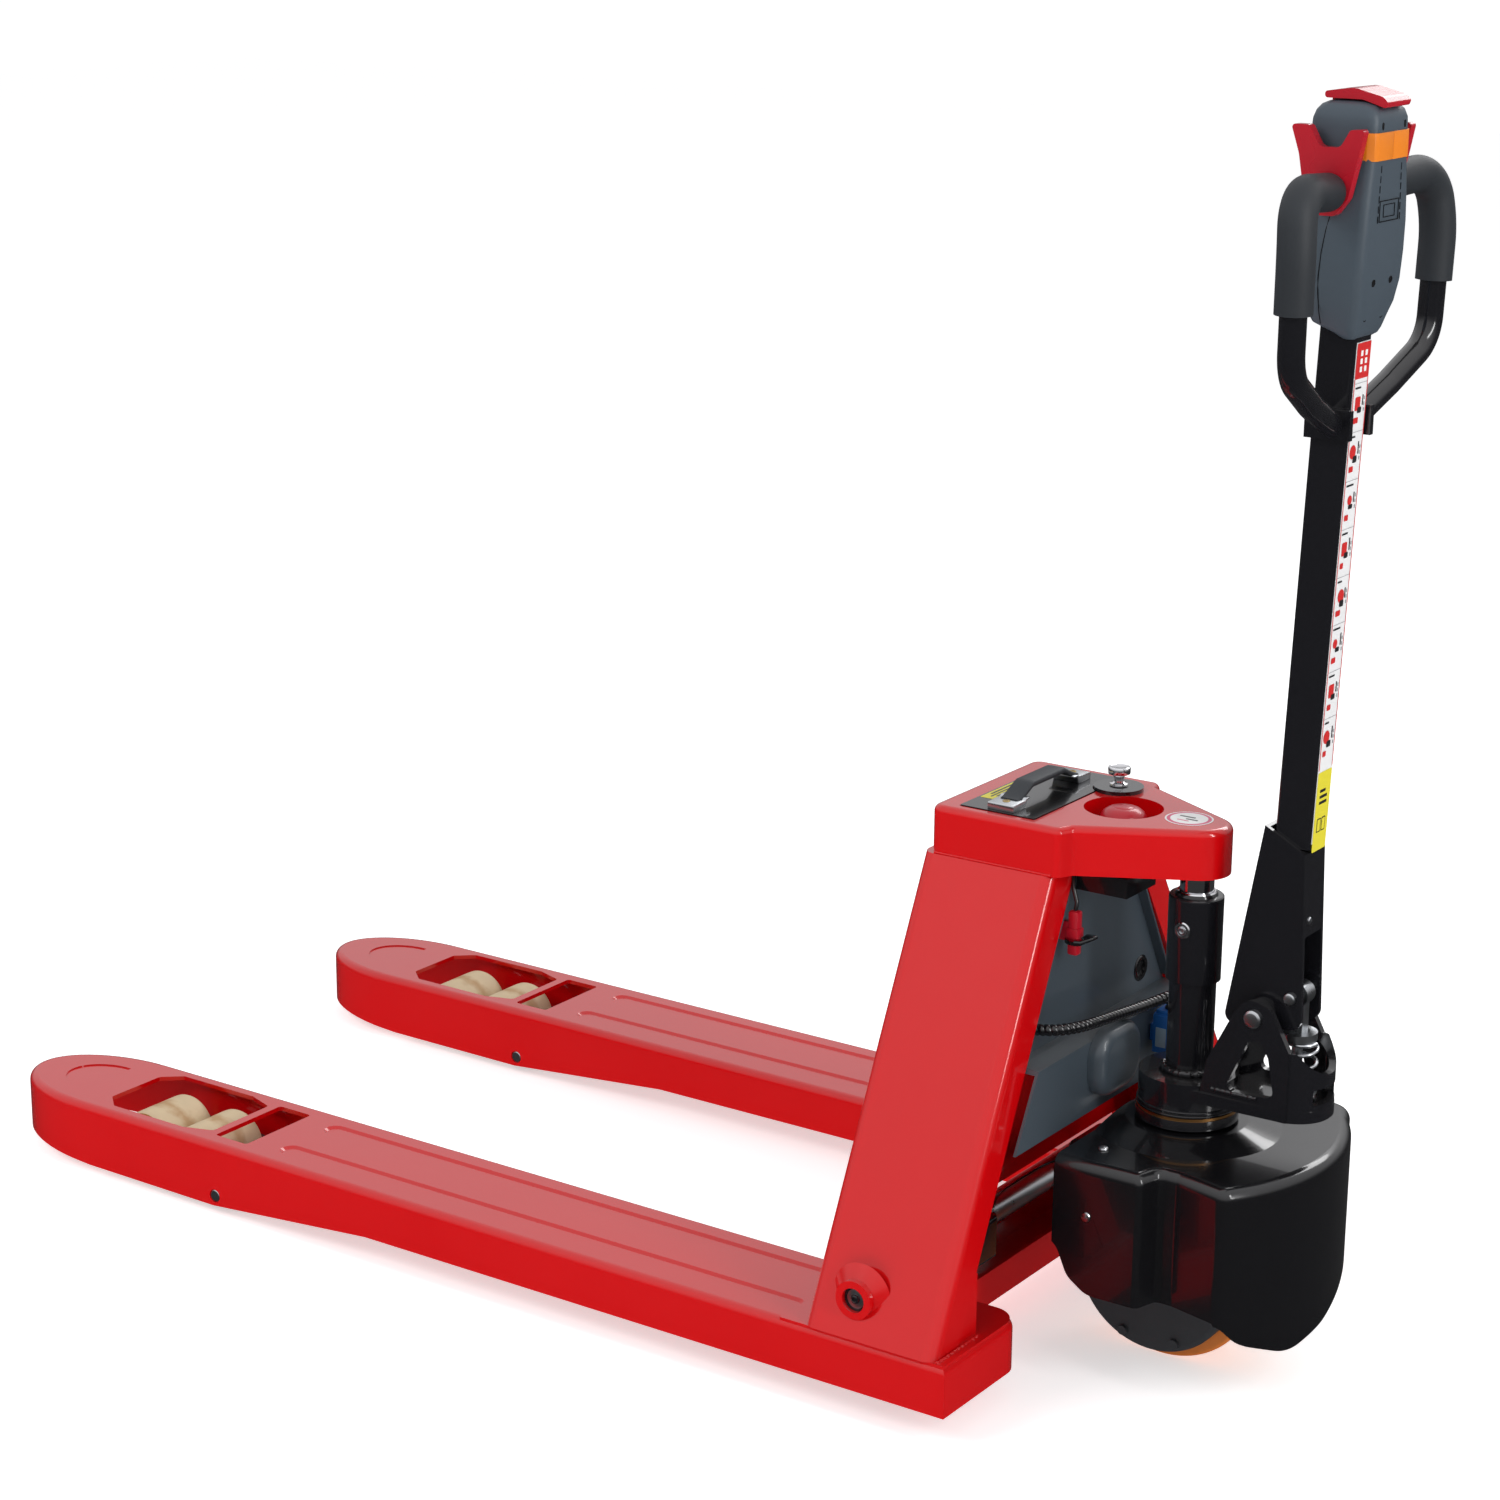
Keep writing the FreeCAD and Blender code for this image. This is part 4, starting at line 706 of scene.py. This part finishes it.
low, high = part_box("battery_handle")
strap = bmesh.new()
y0, y1 = low.y - 0.008, high.y + 0.008
floor_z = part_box("battery_pack")[1].z
rings = []
for i in range(41):
    share = i / 40
    lift = 0.0035 + 0.0125 * min(1.0, 1.45 * math.sin(math.pi * share)) ** 1.3
    y = y0 + (y1 - y0) * share
    ring = []
    for u, v in round_outline((-11.0, -2.9), (11.0, 2.9), 2.6, 3):
        crown = 0.0009 * (1 - (u / 11.0) ** 2) if v > 0 else 0.0
        ring.append(strap.verts.new(Vector(((low.x + high.x) / 2 + u / 1000, y,
                                            floor_z + 0.002 + lift + v / 1000 + crown))))
    rings.append(ring)
lofted(strap, rings)
make("battery_strap", strap, "grip_foam", "battery", ("battery_handle",))

clamps = bmesh.new()
clamp_screws = bmesh.new()
low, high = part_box("handle_brackets")
for y_near, y_far, way in ((low.y, low.y + 0.034, 1), (high.y, high.y - 0.034, -1)):
    side_view = [(y_near, low.z), (y_near, low.z + 0.0062), (y_near + way * 0.001, low.z + 0.0072),
                 (y_near + way * 0.0235, low.z + 0.0076), (y_near + way * 0.0265, low.z + 0.0094),
                 (y_far, low.z + 0.0094), (y_far, low.z + 0.0078), (y_near + way * 0.0275, low.z + 0.0070),
                 (y_near + way * 0.0245, low.z)]
    slab(clamps, [Vector((low.x, y, z)) for y, z in side_view], Vector((high.x - low.x, 0, 0)), 0.5)
    place = Vector(((low.x + high.x) / 2, y_near + way * 0.0115, low.z + 0.0071))
    screw_head(clamp_screws, place, (0, 0, 1), 4.0, 1.5)
make("strap_clamps", clamps, "zinc_steel", "battery", ("handle_brackets",))
make("strap_screws", clamp_screws, finish("brass_screw", (0.45, 0.33, 0.14), 0.35, metal=1.0), "battery")

# %% [markdown]
# ## Return spring, tube gland and weld beads
# The compression spring is a real helix with closed ends. Weld beads are lumpy
# sweeps, because a real bead is a row of overlapping puddles.


# %% Spring, gland and welds
def helix():
    low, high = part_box("return_spring")
    centre = middle("return_spring")
    turns, wire = 5.0, 1.9
    radius = (high.x - low.x) / 2 - wire / 1000
    path = []
    steps = 200
    for i in range(steps + 1):
        share = i / steps
        climb = min(1.0, max(0.0, (share - 0.10) / 0.80))
        angle = 2 * math.pi * turns * share
        z = low.z + wire / 1000 + (high.z - low.z - 2 * wire / 1000) * (climb * 0.92 + 0.04 * 2 * share)
        path.append(Vector((centre.x + radius * math.cos(angle), centre.y + radius * math.sin(angle), z)))
    return swept(bmesh.new(), path, wire, 10)


coil = make("return_spring_coil", helix(), "zinc_steel", "steering_head", ("return_spring",))
low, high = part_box("return_spring")
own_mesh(coil)

gland = bmesh.new()
axis = Vector((middle("lift_cylinder").x, 0, 0))
turned(gland, [(17.4, 483.0), (18.6, 487.0), (20.2, 487.6), (21.0, 486.2), (21.6, 484.4), (26.2, 484.4),
               (27.4, 483.2), (27.5, 479.0)], axis, (0, 0, 1), 64)
make("cylinder_gland", gland, "black_paint", "steering_head")
wiper = bmesh.new()
turned(wiper, [(17.1, 486.8), (17.6, 488.6), (19.2, 488.8), (20.0, 487.5)], axis, (0, 0, 1), 48)
make("rod_wiper", wiper, "chrome_rod", "steering_head")

ridges = bmesh.new()
for z, reach in ((266.8, 51.4), (270.6, 51.0)):
    turned(ridges, [(50.0, z - 1.2), (reach, z - 0.9), (reach + 0.3, z), (reach, z + 0.9), (50.0, z + 1.2)],
           axis, (0, 0, 1), 96)
make("base_ring_ridges", ridges, "black_paint", "steering_head")


def bead(shape, path, radius, pitch=6.0, seed=0.0):
    """A weld bead: overlapping puddles along a path."""
    def lumpy(gone, angle):
        ripple = abs(math.sin(math.pi * (gone + seed) / pitch)) ** 0.6
        slow = 0.07 * math.sin(gone * 0.7 + seed)
        return radius * (0.72 + 0.3 * ripple + slow + 0.05 * math.sin(angle * 3 + gone))
    return swept(shape, path, lumpy, 12)


def ring_path(centre, radius, z, start, end, steps):
    """Points on an arc in a level plane, in millimetres about a centre."""
    turn = [math.radians(start + (end - start) * i / steps) for i in range(steps + 1)]
    return [Vector((centre.x + radius * math.cos(a) / 1000, centre.y + radius * math.sin(a) / 1000, z / 1000))
            for a in turn]


def straight(a, b, steps):
    return [a.lerp(b, i / steps) for i in range(steps + 1)]


welds = bmesh.new()
bead(welds, ring_path(axis, 25.6, 302.5, -170, 170, 130), 4.2, 7.5)
bead(welds, straight(spot(1419, -40.5, 301.5), spot(1468, -40.5, 301.5), 50), 2.2, 6.0, 3.0)
bead(welds, straight(spot(1419, 40.5, 301.5), spot(1468, 40.5, 301.5), 50), 2.2, 6.0, 1.0)
make("bracket_welds", welds, "black_paint", "steering_head", sharp=60)

frame_welds = bmesh.new()
for side in (-1, 1):
    bead(frame_welds, straight(spot(1269, side * 104, 509.0), spot(1269, side * 62, 509.0), 50), 2.6, 6.5, side)
    bead(frame_welds, straight(spot(1266, side * 104.6, 509.0), spot(1132, side * 104.6, 509.0), 130), 1.3,
         6.0, 2)
    bead(frame_welds, straight(spot(1290, side * 262, 84.5), spot(1290, side * 338, 84.5), 80), 2.2, 6.5, 1)
make("frame_welds", frame_welds, "red_paint", "fork_frame", sharp=60)

# %% [markdown]
# ## Loom, plug and fuse
# The battery loom is sleeved in a spiral wrap. Its line is a smooth curve through the loom's own route, and
# the wrap's turns are narrow bands with a groove between them.


# %% Loom
route = [(1244, -126, 354), (1276, -124, 355), (1299, -98, 356), (1301, -50, 351), (1301, 5, 344),
         (1303, 56, 339), (1313, 82, 343), (1308, 80, 322)]


def smooth_line(points):
    """Sampled points of a NURBS curve through a route's control points."""
    data = bpy.data.curves.new("line", "CURVE")
    data.dimensions = "3D"
    spline = data.splines.new("NURBS")
    spline.points.add(len(points) - 1)
    for knot, place in zip(spline.points, points):
        knot.co = (*spot(*place), 1)
    spline.order_u = 3
    spline.use_endpoint_u = True
    spline.resolution_u = 60
    holder = bpy.data.objects.new("line", data)
    bpy.context.scene.collection.objects.link(holder)
    bpy.context.view_layer.update()
    mesh = bpy.data.meshes.new_from_object(holder.evaluated_get(bpy.context.evaluated_depsgraph_get()))
    line = [v.co.copy() for v in mesh.vertices]
    bpy.data.objects.remove(holder)
    bpy.data.curves.remove(data)
    bpy.data.meshes.remove(mesh)
    return line


wrap_pitch, groove_r, band_rise = 6.2, 4.6, 1.5


def wrap(gone, angle):
    """Radius of the spiral wrap: one crowned band per pitch."""
    phase = (gone / wrap_pitch - angle / (2 * math.pi)) % 1.0
    crown = max(0.0, math.sin(math.pi * phase)) ** 0.45
    return groove_r + band_rise * crown


loom = swept(bmesh.new(), smooth_line(route), wrap, 28)
make("spiral_wrapped_loom", loom, "black_plastic", "fork_frame", ("cable_harness",), sharp=70)
grommets_and_shade_cap = bmesh.new()
turned(grommets_and_shade_cap, [(6.6, -1.0), (6.2, 2.0), (8.6, 3.4), (12.4, 2.4), (13.2, 0.6), (13.0, 0.0)],
       spot(1256.2, -126, 354), (1, 0, 0), 40)
# This grommet is closed across its middle: its black floor is painted shade for the dark behind the panel hole.
turned(grommets_and_shade_cap, [(0, -1.6), (9.0, -1.4), (9.2, 0.9), (12.6, 1.6), (14.2, 0.6), (14.2, 0.0)],
       spot(1258.8, 105, 353), (1, 0, 0), 40)
make("panel_grommets_and_shade_cap", grommets_and_shade_cap, "black_plastic", "fork_frame")

low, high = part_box("harness_connector")
plug = bmesh.new()
right = high.x
left = right - 0.020
brick(plug, Vector((left, low.y, low.z)), Vector((right, high.y, high.z)), 1.4)
for share in (0.22, 0.78):
    y = low.y + (high.y - low.y) * share
    brick(plug, Vector((left - 0.0010, y - 0.0018, low.z + 0.002)),
          Vector((right + 0.0014, y + 0.0018, high.z)), 0.6)
brick(plug, Vector((low.x, low.y + 0.006, low.z + 0.010)),
      Vector((left + 0.001, high.y - 0.006, high.z - 0.014)), 0.8)
brick(plug, Vector((left + 0.002, low.y + 0.003, high.z - 0.002)),
      Vector((right - 0.002, high.y - 0.003, high.z + 0.004)), 0.8)
make("harness_plug", plug, "blue_plastic", "fork_frame", ("harness_connector",))
window = bmesh.new()
brick(window, Vector((left + 0.004, low.y - 0.0006, low.z + 0.007)),
      Vector((right - 0.004, low.y + 0.002, high.z - 0.014)), 0.5)
brick(window, Vector((right - 0.001, low.y + 0.009, low.z + 0.007)),
      Vector((right + 0.0008, high.y - 0.009, high.z - 0.012)), 0.5)
make("plug_windows", window, finish("pale_nylon", (0.30, 0.42, 0.52), 0.35), "fork_frame")

low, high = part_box("fuse_holder")
fuse = bmesh.new()
front = high.x
brick(fuse, Vector((front - 0.0115, low.y + 0.0005, low.z)), Vector((front, high.y - 0.0005, high.z)), 2.6)
brick(fuse, Vector((front - 0.0125, low.y - 0.0005, low.z + 0.018)),
      Vector((front + 0.001, high.y + 0.0005, low.z + 0.028)), 1.2)
brick(fuse, Vector((low.x, low.y + 0.002, low.z + 0.014)),
      Vector((front - 0.010, high.y - 0.002, high.z - 0.012)), 0.6)
make("fuse_body", fuse, "red_plastic", "fork_frame", ("fuse_holder",))
tie = bmesh.new()
mid = Vector((front - 0.006, (low.y + high.y) / 2, low.z + 0.014))
turned(tie, [(8.3, -2.0), (9.6, -1.8), (9.8, 0), (9.6, 1.8), (8.3, 2.0)], mid, (0.1, 0, 1), 28)
swept(tie, [mid + Vector((0.004, -0.008, 0.001)), mid + Vector((0.010, -0.006, 0.001)),
            mid + Vector((0.017, 0.004, 0.004)), mid + Vector((0.016, 0.014, 0.003)),
            mid + Vector((0.004, 0.020, 0.0)), mid + Vector((-0.008, 0.022, -0.010))], 2.4, 12)
swept(tie, [mid + Vector((0, 0, 0.030)), mid + Vector((0.001, 0.001, 0.040)), mid + Vector((-0.006, 0.006, 0.052)),
            mid + Vector((-0.010, 0.012, 0.070))], 2.2, 12)
make("fuse_tie_and_wires", tie, "black_plastic", "fork_frame")

# %% [markdown]
# ## Control head
# The head is lofted from rounded sections, so its front plate and sides meet in soft corners. A band of
# orange lens wraps its front under the top, and seams, slots and screw wells are laid in as thin black parts, painted
# shade for the dark inside of those grooves and holes.


# %% Control head
foot_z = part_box("control_head")[0].z * 1000
# Each section: rise over the foot, rear x, front x, half width, corner radius.
sections = [(0.0, 1482, 1508, 22, 5), (0.7, 1478, 1516, 27, 7), (3, 1475.5, 1519.5, 30, 8),
            (8, 1474.5, 1522, 33, 9), (18, 1473.5, 1524.5, 37, 9), (32, 1472, 1528.5, 42.5, 9),
            (52, 1470, 1531.5, 46.3, 9),
            (78, 1468, 1533, 47.4, 9), (106, 1466.6, 1534, 46.6, 9), (128, 1466.2, 1534.3, 44.2, 9),
            (150, 1466.4, 1534.5, 41.0, 9), (167, 1467, 1534.6, 38.6, 9), (192, 1468, 1534.8, 37.0, 9),
            (200, 1468.6, 1534.6, 36.4, 9), (207, 1470.5, 1532.5, 34.6, 10), (212, 1474, 1528, 31.5, 11),
            (214.6, 1479, 1521, 27.5, 12), (216.0, 1487, 1510, 18, 9)]
shell = bmesh.new()
rings = []
for rise, x0, x1, half, corner in sections:
    tilt = 14.0 * max(0.0, 1 - rise / 40)
    ring = []
    for x, y in round_outline((x0, -half), (x1, half), corner, 5):
        z = foot_z + rise + tilt * (x1 - x) / (x1 - x0)
        ring.append(shell.verts.new(spot(x, y, z)))
    rings.append(ring)
lofted(shell, rings)
make("head_shell", shell, "slate_plastic", "tiller", ("control_head",), sharp=50)

lens = bmesh.new()
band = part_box("head_band")
for y0, y1 in ((-34.5, -0.2), (0.2, 34.5)):
    outline = [(1535.6, y0)]
    if y0 < -1:
        outline = [(1512, y0 - 4.6), (1527, y0 - 4.4), (1533.6, y0 - 1.6), (1535.6, y0 + 3)]
    if y1 < 1:
        outline += [(1535.6, y1)]
    else:
        outline += [(1535.6, y1 - 3), (1533.6, y1 + 1.6), (1527, y1 + 4.4), (1512, y1 + 4.6)]
    inner = [(x - 3.0, y * 0.9) for x, y in reversed(outline)]
    slab(lens, [spot(x, y, band[0].z * 1000 - 0.5) for x, y in outline + inner],
         Vector((0, 0, band[1].z - band[0].z + 0.001)), 0.5)
make("signal_lens", lens, "orange_plastic", "tiller", ("head_band",))

# Seam lines, slot dashes, screw holes and the square recess are thin black plates and shallow black cups on the slate
# head: painted shade for the dark inside of these grooves and holes.
painted_shade_gaps = bmesh.new()
face_x = 1534.0
for side in (-1, 1):
    for i in range(6):
        z = 1208 - 9.0 * i
        y = side * (21.4 + 0.05 * (1208 - z))
        slab(painted_shade_gaps, [spot(face_x + 0.5, y + dy, z + dz)
                    for dy, dz in ((-0.5, 0), (0.5, 0), (0.5, -6.4), (-0.5, -6.4))], Vector((0.0004, 0, 0)))
    slab(painted_shade_gaps, [spot(1534.2, side * 23.5 + u, 1243 + v)
                for u, v in round_outline((-2.0, -3.4), (2.0, 3.4), 1.8, 4)], Vector((0.0008, 0, 0)))
    for y, z, x in ((17.6, 1069.5, 1524.6), (18.4, 1102, 1531.6)):
        turned(painted_shade_gaps, [(0, 0.25), (2.6, 0.3), (3.4, 0.5), (3.5, -1.0)], spot(x, side * y, z), (1, 0, -0.12), 20)
    rail = [spot(1499, side * 45.2, 1168), spot(1495, side * 46.6, 1150), spot(1492, side * 47.4, 1130),
            spot(1490, side * 46.9, 1108), spot(1489.6, side * 44.9, 1092), spot(1489.6, side * 40.9, 1076),
            spot(1489.8, side * 36.2, 1064)]
    swept(painted_shade_gaps, rail, 0.5, 6)
for u0, v0, u1, v1 in ((-19.5, 1157, 19.5, 1157.9), (-19.5, 1175.6, 19.5, 1176.5), (-20.4, 1157, -19.5, 1176.5),
                       (19.5, 1157, 20.4, 1176.5), (-11.5, 1161, 11.5, 1161.7), (-11.5, 1172.0, 11.5, 1172.7),
                       (-12.2, 1161, -11.5, 1172.7), (11.5, 1161, 12.2, 1172.7)):
    slab(painted_shade_gaps, [spot(face_x + 0.3, u, v) for u, v in ((u0, v0), (u1, v0), (u1, v1), (u0, v1))],
         Vector((0.0005, 0, 0)))
make("head_painted_shade_gaps", painted_shade_gaps, "black_plastic", "tiller")

# %% [markdown]
# ## Labels
# Printed films are thin plates with plain shapes on them: bars, dots and blocks. Nothing on them is lettering.


# %% Labels
def ink(name, color):
    return finish(name, color, 0.32, tone=0.03, grain=0.02)


inks = {"red": ink("red_ink", (0.62, 0.02, 0.02)), "black": ink("black_ink", (0.02, 0.02, 0.022)),
        "yellow": ink("yellow_film", (0.75, 0.66, 0.03)), "white": ink("white_film", (0.85, 0.85, 0.84)),
        "grey": ink("grey_ink", (0.30, 0.30, 0.31)), "rose": ink("rose_ink", (0.62, 0.06, 0.16))}


def printed(name, origin, across, along, body, films):
    """Printed films: each is (ink, outline in millimetres, lift in millimetres)."""
    out = across.cross(along).normalized()
    for color in dict.fromkeys(film[0] for film in films):
        shape = bmesh.new()
        for film, outline, lift in films:
            if film == color:
                start = origin + out * ((lift - 0.12) / 1000)
                slab(shape, [start + across * (u / 1000) + along * (v / 1000) for u, v in outline], out * 0.00012)
        make(f"{name}_{color}", shape, inks[color], body)


def oblong(u0, v0, u1, v1, r=0.4):
    return round_outline((u0, v0), (u1, v1), r, 3)


low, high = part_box("tiller_label")
foot = Vector((low.x + 0.00065, 0, low.z))
lean = Vector((high.x - low.x - 0.00065, 0, high.z - low.z)).normalized()
films = [("yellow", oblong(-14.8, -9, 14.8, 71, 1.5), 0.30), ("black", oblong(-8.0, 38, 8.0, 41), 0.42),
         ("black", oblong(-8.0, 44, 8.0, 47), 0.42), ("black", oblong(-8.0, 50, 4.0, 53), 0.42),
         ("black", oblong(-9.0, 10, -0.8, 24, 1.0), 0.42), ("black", oblong(0.8, 10, 9.0, 24, 1.0), 0.42),
         ("yellow", oblong(-7.8, 11.2, -2.0, 22.8, 0.6), 0.54), ("yellow", oblong(2.0, 11.2, 7.8, 22.8, 0.6), 0.54),
         ("red", oblong(-14.6, 450, 14.6, 483.6, 1.0), 0.30), ("red", oblong(-14.8, 73, -13.6, 450), 0.30),
         ("red", oblong(13.6, 73, 14.8, 450), 0.30)]
for u in (-6.0, 3.5):
    for v in (456.0, 463.5, 471.0):
        films.append(("white", oblong(u, v, u + 4.6, v + 5.2, 0.5), 0.42))
for i in range(8):
    v = 82.0 + 46.0 * i
    films.append(("grey", oblong(-13.0, v + 41.6, 13.0, v + 42.0, 0.1), 0.30))
    films.append(("black", oblong(-11.0, v + 36.5, -11.0 + 9 + 3 * (i % 3), v + 38.3), 0.30))
    films.append(("red", disc_outline((-4.5 + 3 * (i % 2), v + 23), 6.6 - i % 3) if i % 3 != 1 else
                  oblong(-9.0, v + 16, 2.0, v + 29, 1.6), 0.30))
    films.append(("black", oblong(-3.5, v + 12.5 + i % 3, 5.0, v + 19, 1.4), 0.42))
    films.append(("black", oblong(6.0, v + 20, 8.0, v + 32 - 2 * (i % 2), 0.5), 0.30))
    for k in range(3):
        films.append(("grey", oblong(9.5, v + 14 + 5.4 * k, 11.4, v + 17.4 + 5.4 * k), 0.30))
    films.append(("red", oblong(-10.0, v + 4, -3.0 + i % 4, v + 9.5, 1.0), 0.30))
printed("tiller_strip", foot, Vector((0, 1, 0)), lean, "tiller", films)

low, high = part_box("battery_pack")
films = [("yellow", oblong(-10.5, -45, 10.5, 45, 1.0), 0.20), ("black", oblong(-7.5, -30, -5.2, 30), 0.32),
         ("black", oblong(-2.8, -38, -0.9, 24), 0.32), ("black", oblong(1.6, -34, 3.5, 30), 0.32),
         ("black", oblong(5.8, -38, 7.6, 4), 0.32), ("red", oblong(5.4, 16, 8.4, 34), 0.32)]
printed("lid_label", Vector((low.x + 0.0125, -0.010, high.z)), Vector((1, 0, 0)), Vector((0, 1, 0)), "battery", films)

hood_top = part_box("hood")[1].z
films = [("white", disc_outline((0, 0), 24, 64), 0.22), ("rose", disc_outline((0, 0), 22.2, 64), 0.34),
         ("white", disc_outline((0, 0), 18.8, 64), 0.46), ("black", oblong(-12, 2.5, 5, 5.5, 1), 0.58),
         ("black", oblong(-2, -4.5, 11, -1.5, 1), 0.58), ("rose", oblong(-9, -10, 4, -8, 0.8), 0.58)]
printed("nose_sticker", Vector((fork_tip_x + 1.359, 0.004, hood_top)), Vector((1, 0, 0)), Vector((0, 1, 0)),
        "fork_frame", films)
